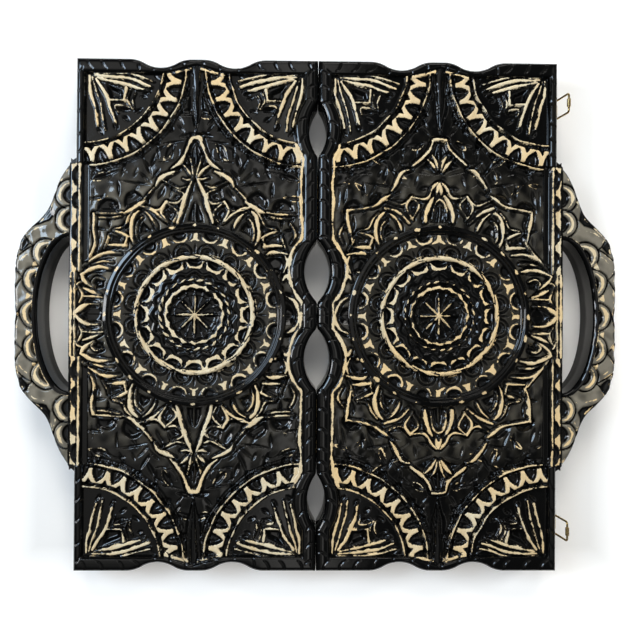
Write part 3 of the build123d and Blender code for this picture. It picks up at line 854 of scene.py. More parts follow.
def tickCuts(face, path, pitch, seed, reach):
    # short curved knife ticks across a border, from its outer shoulder inwards
    rng = np.random.default_rng(seed)
    steps = np.diff(path, axis=0)
    run = np.concatenate([[0], np.cumsum(np.hypot(*steps.T))])
    place = pitch * rng.uniform(0.3, 0.7)
    while place < run[-1] - 4:
        at = np.array([np.interp(place, run, path[:, k]) for k in (0, 1)])
        ahead = np.array([np.interp(place + 2, run, path[:, k]) for k in (0, 1)]) - at
        along = ahead / max(np.hypot(*ahead), 1e-6)
        inwards = np.array([-along[1], along[0]])
        slip = tick["lean"] * rng.uniform(0.7, 1.4)
        points = [at + inwards * tick["inset"],
                  at + inwards * reach * 0.4 - along * slip * 0.5,
                  at + inwards * reach * 0.8 + along * slip * 0.9,
                  at + inwards * reach + along * slip * 3.0]
        face.cut(stroke(points, tick["widths"]), tick["depth"], tick["slope"])
        place += pitch * rng.uniform(0.8, 1.25)


def carveFan(face):
    centre, inner, outer = fan["centre"], fan["inner"], fan["outer"]
    top, recess = faceCarving["lineTop"], faceCarving["recess"]

    def polar(radius, degrees):
        turn = math.radians(degrees)
        return np.array(centre) + radius * np.array([math.cos(turn), math.sin(turn)])

    face.level(disc(centre, outer + 2), recess + 1.2)
    # the toothed band: bare wood left between arches and triangles
    face.ridge(arc(centre, (inner + outer) / 2 + 0.5, outer - inner - 9), top - 0.8, 1.6)
    step = fan["turn"] / fan["teeth"]
    for tooth in range(-1, fan["teeth"] + 1):
        angle = fan["firstAngle"] + step * tooth
        face.cut(leaf(polar(outer + 11, angle), polar(inner + 7.0, angle + 1.0), fan["leafWidth"]),
                 4.4, 1.4)
        face.ridge(stroke([polar(outer - 2, angle), polar(inner + 14, angle + 0.6)], (1.8, 0.6)),
                   recess + 3.4, gold=False)
        face.cut(polygon([polar(inner - 1, angle + 0.4), polar(inner - 1, angle + step - 0.3),
                          polar(inner + 12.0, angle + step * 0.60)]), 4.8, 2.4)
    face.ridge(arc(centre, outer, fan["outerWidth"]), top, 0.8)
    face.ridge(arc(centre, inner, fan["innerWidth"]), top, 0.8)
    away, width = fan["hairline"]
    face.ridge(arc(centre, outer + away, width), top - 1.2, 0.6, gold=False, ditch=1.6)
    cornerX, cornerY = fan["corner"]
    for points, widths in fanRidges:
        face.ridge(stroke([(cornerX + x, cornerY + y) for x, y in points], widths), top - 0.4, 0.8)
    for (inside, middle, reach), depth, slope in fanCuts:
        shifted = (lambda u, v, inside=inside: inside(u - cornerX, v - cornerY),
                   (middle[0] + cornerX, middle[1] + cornerY), reach)
        face.cut(shifted, depth, slope)


def carveField(face, ridges, cuts):
    look = faceCarving
    for shape, depth, slope in cuts:
        face.cut(shape, depth, slope)
    for points, widths in ridges:
        widened = [look["lineScale"] * width + look["lineExtra"] for width in widths]
        face.ridge(stroke(points, widened), look["lineTop"], 0.8, ditch=look["ditch"])


def scatterGouges(face, seed):
    # loose knife cuts over the black flats between the frame and the fans
    look = gouges
    start, slant = look["frameLine"]
    rng = np.random.default_rng(seed)
    for _ in range(look["number"]):
        p = rng.uniform(look["from"], look["to"])
        if np.hypot(*(p - np.array(fan["centre"]))) < fan["outer"] + 5:
            continue
        if p[1] < max(start - slant * p[0], look["leastAlong"]):
            continue
        angle = rng.uniform(0, math.pi)
        reach = rng.uniform(*look["reach"]) * np.array([math.cos(angle), math.sin(angle)])
        rim = look["rim"] if rng.random() < look["rimShare"] else 0.0
        face.cut(leaf(p - reach, p + reach, rng.uniform(*look["width"])),
                 rng.uniform(*look["depth"]), rng.uniform(*look["slope"]), rim)


def sideBand(u, v):
    # how far inside the bare band beside the handle a place is; black half discs notch it
    look = sideStrip
    bare = np.minimum(u - look["inner"], look["outer"] - u) - 0.4
    for place, half in look["notches"]:
        notch, _, _ = leaf((look["notchAt"], place - half), (look["notchAt"], place + half),
                           look["notchWidth"])
        bare = np.minimum(bare, -notch(u, v))
    return np.where(v > look["end"], -3, bare)


def squareDistance(edge, place, sample, step=0.5):
    # a distance measured along one axis, turned into one square to the edge
    slope = (edge(place + step) - edge(place - step)) / (2 * step)
    return sample / np.sqrt(1 + slope ** 2)


def halfGrid():
    # points over the half's top, on lines that follow its scalloped outline
    width, length, step = case["halfWidth"], case["halfLength"], faceCarving["spacing"]
    cols = np.concatenate([np.arange(0, 18, 0.8), np.linspace(18, 262, int(244 / step)),
                           np.linspace(262.8, width, 28)]) / width
    rows = np.concatenate([np.linspace(-300, -281, 25)[:-1],
                           np.linspace(-281, 281, 2 * int(281 / step) + 1),
                           np.linspace(281, 300, 25)[1:]]) / length
    s, t = np.meshgrid(cols, rows)
    left = hingeEdge(t * length)
    x = left + s * (width - left)
    return x, t * endEdge(x)


def carvePattern(face, side, u, field, seed):
    # gouges, frame, petals and fans; only points where the face is open are carved
    face.open = field
    scatterGouges(face, seed + 20)
    carveField(face, frameRidges, frameCuts)
    carveField(face, spearRidges[side], spearCuts[side])
    face.open = field & (u > 0)
    carveField(face, outerRidges if side == "left" else outerRidges[1:] + [outerCurve], outerCuts)
    face.open = field & (u < 0)
    carveField(face, hingeRidges, hingeCuts)
    face.open = field
    carveFan(face)
    # upright ridge between the two fans
    look = faceCarving
    face.level(polygon([(-1, 300), (8.5, 300), (8.5, 262), (5.5, 236), (0, 214)]), look["recess"] + 0.6)
    face.ridge(stroke([(0, 297), (0, 276), (0, 260), (0, 238), (0, 214)], (8.6, 8.0, 6.0, 3.0, 1.2)),
               look["lineTop"], 3.6, gold=False)


def carveBesideHandle(face, u, v, beside, seed):
    # a recess, a light upright line and the notched band; gives the points of the band
    look, strip = faceCarving, sideStrip
    far = np.abs(v)
    band = beside & (u > 100)
    recess = smooth(u, *strip["recess"][:2]) * (1 - smooth(u, *strip["recess"][2:]))
    recess = recess * smooth(far, *strip["recessAlong"]) * band
    face.height = face.height * (1 - recess) + look["recess"] * recess
    face.bare = np.where(recess > 0.05, -2.0, face.bare)
    line = strip["uprightHalf"] - np.abs(u - strip["upright"] + 0.3 * wobble(u, v, 30, seed + 3))
    line = np.where(band & (far > 49), line, -2)
    face.put(line > 0, look["lineTop"] + 0.5 * np.sqrt(np.clip(line, 0, 2)))
    face.bare = np.where(line > 0, np.maximum(face.bare, line - 0.3), face.bare)
    bare = sideBand(u, far)
    notched = band & (u > strip["notchAt"]) & (far > 50)
    face.put(notched, strip["landHeight"] + 1.0 * smooth(bare, -1.5, 0.3) - 2.4 * smooth(-bare, 0.3, 4))
    face.bare = np.where(notched, bare, face.bare)
    return notched


def tickBorders(face, x, y, seed):
    face.across, face.along, face.open = x, y, np.ones(x.shape, bool)
    width = case["halfWidth"]
    run = np.linspace(-298, 298, 600)
    tickCuts(face, np.stack([hingeEdge(run), run], 1)[::-1], 19, seed + 4, 13)
    run = np.linspace(4, width - 4, 300)
    tickCuts(face, np.stack([run, endEdge(run)], 1)[::-1], 20, seed + 5, 14)
    tickCuts(face, np.stack([run, -endEdge(run)], 1), 20, seed + 6, 14)
    for low, high in ((180, 298), (-298, -180)):
        run = np.linspace(low, high, 200)
        tickCuts(face, np.stack([np.full(200, width), run], 1), 22, seed + 7, 8.5)


def paintedSheenShare(side, u, v, seed):
    # painted sheen on the flats in place of a reflection of the window: most of all beside the
    # medallion, on the left half, and fading towards the ends
    glow = np.full(u.shape, 0.15)
    if side == "left":
        glow = 0.10 + 0.34 * smooth(u, -60, 110) * smooth(v, -260, 120)
    glow *= 1 - 0.93 * smooth(np.abs(v) + 0.35 * np.abs(u), 150, 205)
    return glow * np.clip(1 + 1.1 * wobble(u, v, 17, seed + 12), 0.15, 2)


def carveHalf(side, seed):
    look = faceCarving
    x, y = halfGrid()
    shape = x.shape
    x, y = x.ravel(), y.ravel()
    toHinge = squareDistance(hingeEdge, y, x - hingeEdge(y))
    toEnd = squareDistance(endEdge, x, endEdge(x) - np.abs(y))
    beside = np.abs(y) < case["besideHandle"]
    outside = np.minimum(np.minimum(toHinge, toEnd), np.where(beside, 9, case["halfWidth"] - x))
    toOuter = np.where(beside, 12.0, case["halfWidth"] - look["borderOuter"] - x)
    hingeIn = squareDistance(hingeEdge, y, x - hingeEdge(y) - look["borderHinge"])
    endIn = fieldEndEdge(x) - np.abs(y)
    fieldIn = np.minimum(np.minimum(hingeIn, toOuter), endIn)
    u, v = x - case["medallionX"], y
    across = u + look["handShake"] * wobble(u, v, 27, seed)
    along = np.abs(v + look["handShake"] * wobble(u, v, 33, seed + 1))
    ground = case["flatLevel"] + look["undulation"] * wobble(u, v, 28, seed + 9)
    ground += look["facets"] * wobble(u, v, 12, seed + 10)
    face = CarvedFace(np.abs(across), along, ground)
    carvePattern(face, side, u, fieldIn > -0.5, seed)
    notched = carveBesideHandle(face, u, v, beside, seed)
    # the field meets the rounded border
    border = borderHeight(outside, -fieldIn)
    inField = smooth(fieldIn, -0.2, 0.9)
    face.height = face.height * inField + border * (1 - inField)
    face.bare = np.where(fieldIn < 0, np.minimum(face.bare, -1.5), face.bare)
    # the bare wavy ridge along the hinge border and strips at the foot of the end border's peak
    ridge = 2.1 - np.abs(hingeIn - 1.8 - 1.1 * wobble(u, v, 44, seed + 8))
    ridge += 0.35 * wobble(u, v, 15, seed + 2)
    face.raiseTo(np.where((np.abs(y) < 201) & (u < 0), ridge, -2), look["lineTop"] + 0.4)
    foot = 1.8 - np.abs(endIn - 1.9) + 0.3 * wobble(u, v, 15, seed + 3)
    face.raiseTo(np.where((np.abs(u) < 34) & (np.abs(u) >= 5), foot, -2), look["lineTop"])
    tickBorders(face, x, y, seed)
    # the painted sheen goes only on the flats: not into cuts, nor on the notched band or the ridge
    # between the fans
    flat = smooth(face.height - ground, -1.5, -0.5) * (fieldIn > 0.5)
    flat = np.where(notched | ((np.abs(u) < 9) & (np.abs(v) > 208)), 0, flat)
    return x, y, face.height, face.bare, flat * paintedSheenShare(side, u, v, seed), shape


def closingWalls(faces, top, base):
    # walls from the open edges, each used once, down to a flat underside in one face
    pairs = np.concatenate([faces[:, [k, (k + 1) % 4]] for k in range(4)])
    _, first, count = np.unique(np.sort(pairs, 1), axis=0, return_index=True, return_counts=True)
    rim = pairs[first[count == 1]]
    rimUsed, rimLocal = np.unique(rim, return_inverse=True)
    rimLocal = rimLocal.reshape(-1, 2) + len(top)
    low = top[rimUsed].copy()
    low[:, 2] = base
    walls = np.stack([rim[:, 1], rim[:, 0], rimLocal[:, 0], rimLocal[:, 1]], 1)
    follow = dict(rimLocal.tolist())
    loop = [next(iter(follow))]
    while follow[loop[-1]] != loop[0]:
        loop.append(follow[loop[-1]])
    return low, walls.tolist() + [loop[::-1]]


def sharpWalls(obj):
    # upright walls and the underside are shaded flat, the carving smooth
    mesh = obj.data
    normals = np.zeros(len(mesh.polygons) * 3)
    mesh.polygons.foreach_get("normal", normals)
    up = normals.reshape(-1, 3)[:, 2]
    underside = np.array([len(p.vertices) > 4 for p in mesh.polygons])
    mesh.polygons.foreach_set("use_smooth", ((up > 0.02) & ~underside).tolist())


def buildHalf(side, sign, seed):
    x, y, z, bare, paintedSheen, shape = carveHalf(side, seed)
    quads = gridQuads(np.arange(x.size).reshape(shape))
    centreX = x[quads].mean(1) - case["medallionX"]
    centreY = y[quads].mean(1)
    keep = np.hypot(centreX, centreY) > medallion["seat"]
    for part, half in (("upper", centreY > 0), ("lower", centreY < 0)):
        used, local = np.unique(quads[keep & half], return_inverse=True)
        faces = local.reshape(-1, 4)[:, ::sign]
        top = np.stack([sign * x[used], y[used], z[used]], 1)
        low, closing = closingWalls(faces, top, case["panelBase"])
        values = {"bare": np.concatenate([bare[used], np.full(len(low), wallBare)]),
                  "paintedSheen": np.concatenate([paintedSheen[used], np.zeros(len(low))])}
        obj = makeObject(f"{side}_carving_{part}", np.vstack([top, low]), faces.tolist() + closing,
                         carvedLacquer, values)
        sharpWalls(obj)
        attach(obj, side + "_half")
        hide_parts(side + "_carved_panel")
        print(obj.name, "faces", len(obj.data.polygons))


medallion = {
    "seat": 101.5,                     # radius of the round opening that the two faces leave for it
    "folds": 8,
    "rings": 118,
    "spokes": 90,
    "under": 34.0,
    "shake": 0.45,
    "ground": 45.2,
    # rings as (inner radius, outer radius, height)
    "topRing": (100.4, 107.5, 50.05),
    "lowRing": (97.0, 100.4, 47.6),
    "goldRing": (64.6, 70.8, 51.05),
    "ropeRing": (38.4, 42.6, 49.2),
    "scallopedRing": (28.4, 37.6, 48.4),
    "bossRing": (22.6, 28.6, 42.6),
    "copies": {"weld": 0.00002, "shakeScale": 38.0, "shakeDepth": (5.0, 5.0, 0.0),
               "patchScale": 22.0, "patches": (0.42, 0.62, -0.2, 0.45)},
}


class MedallionSector(CarvedFace):
    # one eighth of the medallion, from radii and angles; its pattern repeats at each sixteenth
    def __init__(self, r, a):
        super().__init__(r, a, np.full(r.shape, medallion["ground"]))
        self.r, self.a = r, a
        self.onRay = np.abs((a + math.pi / 16) % (math.pi / 8) - math.pi / 16)
        self.betweenRays = math.pi / 16 - self.onRay
        self.view(self.onRay)

    def view(self, angle):
        # shapes are placed from the lines along which this angle is nought
        self.across, self.along = self.r * np.cos(angle), self.r * np.sin(angle)

    def ring(self, spec, crown=1.5):
        inner, outer, top = spec
        share = np.clip((self.r - inner) / (outer - inner), 0, 1)
        inside = np.minimum(self.r - inner, outer - self.r)
        self.put(inside > 0, top - crown * np.abs(2 * share - 1) ** 2.5)
        return inside


def carveOuterBand(face):
    # notches between lands
    r = face.r
    face.put(r < 100, 45.8 - 0.8 * smooth(r, 82, 72))
    face.view(face.betweenRays)
    face.scrape(without(both(disc((95.0, 0), 10.9), arc((0, 0), 89.5, 10.6)), disc((96.2, 0), 8.6)))
    face.cut(disc((96.2, 0), 8.8), 3.4, 0.9)
    face.view(face.onRay)
    face.scrape(polygon([(96, 2.8), (89.5, 3.4), (84.0, 9.0), (85.8, 0), (84.0, -9.0),
                         (89.5, -3.4), (96, -2.8)]))
    face.cut(leaf((95.5, 4.4), (86, 9.2), 2.2), 2.2, 1.6)
    face.put((r > 95.6) & (r < 97.0), 43.4)
    # round black domes with nested arcs, standing on the bare ring
    face.view(face.betweenRays)
    band = arc((0, 0), 80, 17)
    face.cut(both(disc((72.5, 0), 12.2), band), 2.6, 1.8)
    face.ridge(both(arc((72.5, 0), 8.2, 2.8), band), 46.0, 1.4, gold=False)
    face.cut(both(disc((71.5, 0), 5.0), band), 1.6, 0.7)
    face.view(face.onRay)
    face.cut(leaf((84.5, 0), (72, 0), 3.4), 2.8, 1.2)


def carveGoldRing(face):
    # hand faceted outside, with a slanting slit to each sixteenth and a hairline round it
    r, a = face.r, face.a
    inside = face.ring(medallion["goldRing"], 2.0)
    facet = 0.45 * np.cos(a * 48 + 2)
    turn = (a / (math.pi / 8) + 0.5) % 1.0
    slit = np.abs(r - 66.0 - 4.6 * turn) - 0.6 * np.sin(math.pi * turn) ** 0.5
    wide = inside + 0.15 + facet * (r > 68)
    face.bare = np.maximum(np.where(inside > -0.8, -1, face.bare), np.minimum(wide, slit + 0.9))
    face.put((slit < 0) & (inside > 0), face.height + 1.5 * slit)
    face.layBare(0.5 - np.abs(r - 72.6))


def carveCrescents(face):
    # bare crescents inside the gold ring, one to each sixteenth, and the black wavy band
    r = face.r
    face.put((r > 43.6) & (r < 64.6), 46.4 - 0.9 * smooth(r, 56, 64))
    face.scrape(both(without(disc((64.6, 0), 13.8), disc((67.6, 0), 10.2)), arc((0, 0), 58.2, 11.4)))
    face.cut(both(disc((66.2, 0), 9.6), arc((0, 0), 60, 10.4)), 3.2, 1.0)
    face.view(face.betweenRays)
    face.cut(leaf((63.5, 0), (54.5, 0), 5.2), 2.4, 1.0)
    wave = 49.0 + 1.9 * np.cos(face.a * 16)
    waved = face.height + 1.1 * np.exp(-((r - wave) / 2.2) ** 2)
    waved = waved - 1.1 * np.exp(-((r - wave + 4.4) / 1.7) ** 2)
    face.put((r > 43.6) & (r < 55), waved)


def carveInnerRings(face):
    # the rope ring, then the bare ring with scalloped edges
    r, a = face.r, face.a
    inside = face.ring(medallion["ropeRing"], 2.2)
    twist = np.sin(a * 24 + (r - 41) * 1.1)
    face.put(inside > 0, face.height + 0.55 * twist)
    face.layBare(np.minimum(inside - 0.1, 1.8 * twist + 0.5))
    inner, outer, _ = medallion["scallopedRing"]
    edgeOut = 36.9 - 1.9 * np.abs(np.sin(a * 8))
    edgeIn = 29.4 + 1.9 * np.abs(np.sin(a * 8 + 0.7))
    face.ring(medallion["scallopedRing"], 2.0)
    scallop = np.minimum(edgeOut - r, r - edgeIn)
    lowered = face.height - np.clip(-scallop * 1.6, 0, 2.2)
    face.put((scallop < 0) & (r > inner) & (r < outer), lowered)
    face.layBare(scallop - 0.3)


def carveHeart(face):
    # a recess with small bosses, then the star
    r, a = face.r, face.a
    face.ring(medallion["bossRing"], -1.2)
    boss = 2.0 - np.hypot(r - 26, 26 * face.onRay)
    face.put((boss > 0) & (r < 28.4) & (r > 22.6), face.height + boss * 0.9)
    eighth = np.abs((a + math.pi / 8) % (math.pi / 4) - math.pi / 8)
    fromRay = r * np.sin(eighth)
    valley = r * np.sin(math.pi / 8 - eighth)
    star = 45.9 - 0.03 * r - np.clip(1.1 * fromRay, 0, 3.4) + 0.5 * np.clip(1.2 - valley, 0, 1.2)
    face.put(r < 22.8, star)
    face.bare = np.where(r < 22.4, np.minimum(1.75 - 0.02 * r - fromRay, 22.2 - r), face.bare)


def carveOuterRings(face):
    # a thin low one, then the smooth black top one with small bare dabs
    r, a = face.r, face.a
    inside = face.ring(medallion["lowRing"], 1.0)
    face.bare = np.where(inside > -0.3, np.where(np.abs(r - 98.9) < 0.45, 0.0, -1), face.bare)
    inside = face.ring(medallion["topRing"], 1.6)
    dab = np.abs((a + 0.13) % (math.pi / 12) - math.pi / 24)
    face.bare = np.where(inside > 0, 1.7 - np.hypot((r - 104.2) * 0.8, 104 * dab * 0.42), face.bare)
    tilted = medallion["topRing"][2] - 0.26 * (r - 101.6) + 0.12 * np.sin(a * 24 + 0.6)
    face.put((r > 101.6) & (r < 106.8), tilted)
    face.put(r > 106.5, face.height - (r - 106.5) * 3)


def carveSector():
    # radii in mm; gives also the painted sheen on the flats and where bare wood fades on the older
    # looking one
    look = medallion
    radii = np.concatenate([np.linspace(0, 106.4, look["rings"]), np.linspace(106.8, 107.5, 4)])
    angles = np.radians(np.linspace(-22.5, 22.5, look["spokes"] + 1))
    r, a = np.meshgrid(radii, angles, indexing="ij")
    shape = r.shape
    r, a = r.ravel(), a.ravel()
    face = MedallionSector(r, a)
    for carve in (carveOuterBand, carveGoldRing, carveCrescents, carveInnerRings, carveHeart,
                  carveOuterRings):
        carve(face)
    # painted sheen: a faint lightening of the high flats of the outer band, between radii 72.5 and 96
    sheenShare = smooth(face.height, 44.6, 45.4) * (r < 96) * (r > 72.5) * 0.12
    fading = smooth(r, 66, 63) * smooth(r, 23, 26) * (0.6 + 0.6 * smooth(r, 46, 50))
    return r, a, face.height, face.bare, sheenShare, fading, shape


def realised(obj, tree, values, name):
    # runs a Geometry Nodes tree on obj and keeps the result as a plain mesh
    sockets = {item.name: item.identifier for item in tree.interface.items_tree
               if item.in_out == "INPUT"}
    modifier = obj.modifiers.new("nodes", "NODES")
    modifier.node_group = tree
    for label, value in values.items():
        modifier[sockets[label]] = value
    bpy.context.view_layer.update()
    graph = bpy.context.evaluated_depsgraph_get()
    mesh = bpy.data.meshes.new_from_object(obj.evaluated_get(graph))
    obj.modifiers.clear()
    result = bpy.data.objects.new(name, mesh)
    mesh.name = name
    bpy.context.scene.collection.objects.link(result)
    return result


def turnOutwards(obj):
    work = bmesh.new()
    work.from_mesh(obj.data)
    bmesh.ops.remove_doubles(work, verts=work.verts, dist=0.00001)
    bmesh.ops.recalc_face_normals(work, faces=work.faces)
    work.to_mesh(obj.data)
    work.free()


def makeTurnedTree():
    # copies a sector round the upright axis, welds the seams and gives the whole a hand-cut unevenness
    look = medallion["copies"]
    tree, entry, leave = newTree(
        "turnedCopies", "GeometryNodeTree",
        [("Geometry", "NodeSocketGeometry", None), ("Copies", "NodeSocketInt", 8),
         ("Shake", "NodeSocketFloat", 0.0004), ("Seed", "NodeSocketFloat", 0.0),
         ("Fade", "NodeSocketFloat", 0.0), ("Centre", "NodeSocketVector", None),
         ("Material", "NodeSocketMaterial", None)],
        [("Geometry", "NodeSocketGeometry")])
    line = addNode(tree, "GeometryNodeMeshLine", {"Offset": (0, 0, 0), "Count": entry["Copies"]},
                   mode="OFFSET")
    share = mathNode(tree, "DIVIDE", 2 * math.pi, entry["Copies"])
    turn = mathNode(tree, "MULTIPLY", addNode(tree, "GeometryNodeInputIndex").outputs[0], share)
    axis = addNode(tree, "ShaderNodeCombineXYZ", {"Z": turn})
    euler = addNode(tree, "FunctionNodeEulerToRotation", {0: axis.outputs[0]})
    copies = addNode(tree, "GeometryNodeInstanceOnPoints", {
        "Points": line.outputs[0], "Instance": entry["Geometry"], "Rotation": euler.outputs[0]})
    real = addNode(tree, "GeometryNodeRealizeInstances", {0: copies.outputs[0]})
    weld = addNode(tree, "GeometryNodeMergeByDistance", {
        "Geometry": real.outputs[0], "Distance": look["weld"]})
    noise = addNode(tree, "ShaderNodeTexNoise", {
        "Scale": look["shakeScale"], "Detail": 1.0, "W": entry["Seed"]}, noise_dimensions="4D")
    middle = addNode(tree, "ShaderNodeVectorMath", {0: noise.outputs["Color"], 1: (0.5, 0.5, 0.5)},
                     operation="SUBTRACT")
    flat = addNode(tree, "ShaderNodeVectorMath", {0: middle.outputs[0], 1: look["shakeDepth"]},
                   operation="MULTIPLY")
    grow = addNode(tree, "ShaderNodeVectorMath", {0: flat.outputs[0], "Scale": entry["Shake"]},
                   operation="SCALE")
    shaken = addNode(tree, "GeometryNodeSetPosition", {
        "Geometry": weld.outputs[0], "Offset": grow.outputs[0]})
    patches = addNode(tree, "ShaderNodeTexNoise", {
        "Scale": look["patchScale"], "Detail": 0.0, "W": entry["Seed"]}, noise_dimensions="4D")
    missing = mapRange(tree, patches.outputs["Fac"], *look["patches"])
    bare, fading = [addNode(tree, "GeometryNodeInputNamedAttribute", {"Name": label},
                            data_type="FLOAT").outputs["Attribute"] for label in ("bare", "fading")]
    faded = mathNode(tree, "MULTIPLY", fading, entry["Fade"])
    thinner = mathNode(tree, "SUBTRACT", mathNode(tree, "SUBTRACT", bare, faded), missing)
    stored = addNode(tree, "GeometryNodeStoreNamedAttribute", {
        "Geometry": shaken.outputs[0], "Name": "bare", "Value": thinner},
        data_type="FLOAT", domain="POINT")
    moved = addNode(tree, "GeometryNodeTransform", {
        "Geometry": stored.outputs[0], "Translation": entry["Centre"]})
    painted = addNode(tree, "GeometryNodeSetMaterial", {
        "Geometry": moved.outputs[0], "Material": entry["Material"]})
    setInputs(tree, leave, {"Geometry": painted.outputs[0]})
    return tree


def buildMedallions():
    look = medallion
    r, a, z, bare, paintedSheen, fading, shape = carveSector()
    index = np.arange(r.size).reshape(shape)
    quads = np.stack([index[:-1, :-1], index[1:, :-1], index[1:, 1:], index[:-1, 1:]], -1).reshape(-1, 4)
    points = np.stack([r * np.cos(a), r * np.sin(a), z], 1)
    # wall and underside of the turned block
    rim = index[-1]
    low = points[rim].copy()
    low[:, 2] = look["under"]
    lowIndex = np.arange(len(rim)) + len(points)
    wall = np.stack([rim[:-1], lowIndex[:-1], lowIndex[1:], rim[1:]], 1)
    heart = len(points) + len(rim)
    under = [[int(lowIndex[k + 1]), int(lowIndex[k]), heart] for k in range(len(rim) - 1)]
    points = np.vstack([points, low, [[0, 0, look["under"]]]])
    plain = np.zeros(len(rim) + 1)
    values = {"bare": np.concatenate([bare, plain + wallBare]),
              "paintedSheen": np.concatenate([paintedSheen, plain]),
              "fading": np.concatenate([fading, plain])}
    sector = makeObject("medallionSector", points, quads.tolist() + wall.tolist() + under,
                        carvedLacquer, values)
    tree = makeTurnedTree()
    for side, sign, seed, fade in (("left", -1, 1.0, 0.1), ("right", 1, 6.0, 0.75)):
        obj = realised(sector, tree, {
            "Copies": look["folds"], "Shake": look["shake"] * mm, "Seed": seed, "Fade": fade,
            "Centre": (sign * case["medallionX"] * mm, 0, 0), "Material": carvedLacquer},
            f"{side}_medallion")
        turnOutwards(obj)
        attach(obj, side + "_half")
        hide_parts(side + "_carved_panel")
        print(obj.name, "faces", len(obj.data.polygons))
    bpy.data.objects.remove(sector)


handle = {
    "top": 45.55,
    "bottom": 2.55,
    "halfLength": 183.3,
    "gapCentre": 290.5,
    "gapReach": 37.5,
    "gapHalf": 90.0,
    "outerRound": 6.0,
    "gapRound": 5.0,
    "bottomRound": 2.5,
    "across": 54,
    "ribStart": 0.2,
    "ribAcross": 12,
    "ribLine": 285.6,
    "moons": (140, 110),
    "moonRuns": (51, 25.5, 0),
    "moonArc": (16.8, 3.4),            # radius and width of the cut arc round a half moon
    "moonLand": 14.6,
    "moonBare": 13.6,
    "moonShift": 4.4,
    "moonHollow": 13.0,
    "moonCut": 12.8,
    "markRuns": (38, 13),
    "facets": (((310, 131), (306.5, 113), (313.5, 104.5), (328, 101), (334, 100), (322, 118)),
               ((336, 92), (335, 80), (343.5, 70.5), (352, 72), (346, 90)),
               ((300, 172), (306, 158), (308, 140), (316, 140), (306, 172))),
    "slivers": ((((308, 133), (304.6, 122), (305.5, 112)), (0.6, 2.4, 0.8)),
                (((318, 101.5), (329, 98.6), (335, 94)), (0.8, 2.6, 1.0)),
                (((334, 71), (341, 67), (348, 60)), (0.8, 2.4, 1.2)),
                (((298, 172), (303.5, 158), (305.5, 143)), (1.0, 2.6, 0.8)),
                (((293, 98), (304, 99.5), (311, 103)), (0.6, 1.8, 0.6))),
}


def readOutline(node, places):
    # how far the handle stands out at each place along the board, read off the CAD solid
    found = []
    for place in places:
        hit, spot, _, _ = node.ray_cast(Vector((0.6, place * mm, 0.024)), Vector((-1, 0, 0)))
        found.append(spot.x / mm if hit and spot.x > 0.283 else case["halfWidth"])
    return np.array(found)


def handleRows():
    side = np.linspace(-handle["halfLength"], -handle["gapHalf"], 92)[:-1]
    bend = handle["gapHalf"] * np.sin(np.radians(np.linspace(-90, 90, 190)))
    return np.concatenate([side, bend, -side[::-1]])


def gapPoint(run):
    # a point on the opening's edge and the way out from it, run in degrees from the middle
    t = math.radians(run)
    reach, half = handle["gapReach"], handle["gapHalf"]
    p = np.array([handle["gapCentre"] + reach * math.cos(t), half * math.sin(t)])
    n = np.array([math.cos(t) / reach, math.sin(t) / half])
    return p, n / np.hypot(*n)


def carveMoon(face, p, n):
    # a half moon with a bare crescent and a cut arc round it
    look = handle
    shifted = tuple(p - n * look["moonShift"])
    face.cut(arc(tuple(p), *look["moonArc"]), 3.0, 1.8)
    face.level(disc(tuple(p), look["moonLand"]), look["top"] - 0.3, 0.4)
    face.scrape(without(disc(tuple(p), look["moonBare"]), disc(shifted, look["moonHollow"])))
    face.cut(disc(shifted, look["moonCut"]), 3.6, 1.1)


def carveHandle(face, rows, outline):
    # half moons along the wall and the opening, facets at the outer edge with bare slivers beside them
    look = handle
    moons = [(np.array([look["gapCentre"], place]), np.array([1.0, 0.05])) for place in look["moons"]]
    for run in look["moonRuns"]:
        p, n = gapPoint(run)
        moons.append((p + n * 3.0, n))
    for points in look["facets"]:
        face.cut(polygon(points), 2.6, 0.45)
    for points, widths in look["slivers"]:
        face.scrape(stroke(points, widths))
    for p, n in moons:
        carveMoon(face, p, n)
        if p[1] > 80:
            continue
        # two cuts that spread from the arc to the outer edge
        side = np.array([-n[1], n[0]])
        foot = p + n * 17.5
        for way in (-1, 1):
            tall = foot[1] + way * 14
            tip = np.array([np.interp(abs(tall), rows, outline) - 1.0, tall])
            bowed = (foot + tip) / 2 - side * way * 1.6
            face.cut(stroke([foot, bowed, tip], (2.6, 3.0, 2.4)), 2.8, 1.7)
            beside = [foot + side * way * 3.0, bowed + side * way * 3.0, tip + side * way * 2.6]
            face.scrape(stroke(beside, (0.2, 2.0, 1.6)))
        reach = np.interp(abs(foot[1]), rows, outline)
        face.cut(leaf((reach + 0.5, foot[1] - 9), (reach + 0.5, foot[1] + 9), 10), 2.6, 0.45)
    for run in look["markRuns"]:
        p, n = gapPoint(run)
        side = np.array([-n[1], n[0]])
        face.scrape(polygon([p + n * 6, p + n * 13 + side * 5, p + n * 13 - side * 5]))


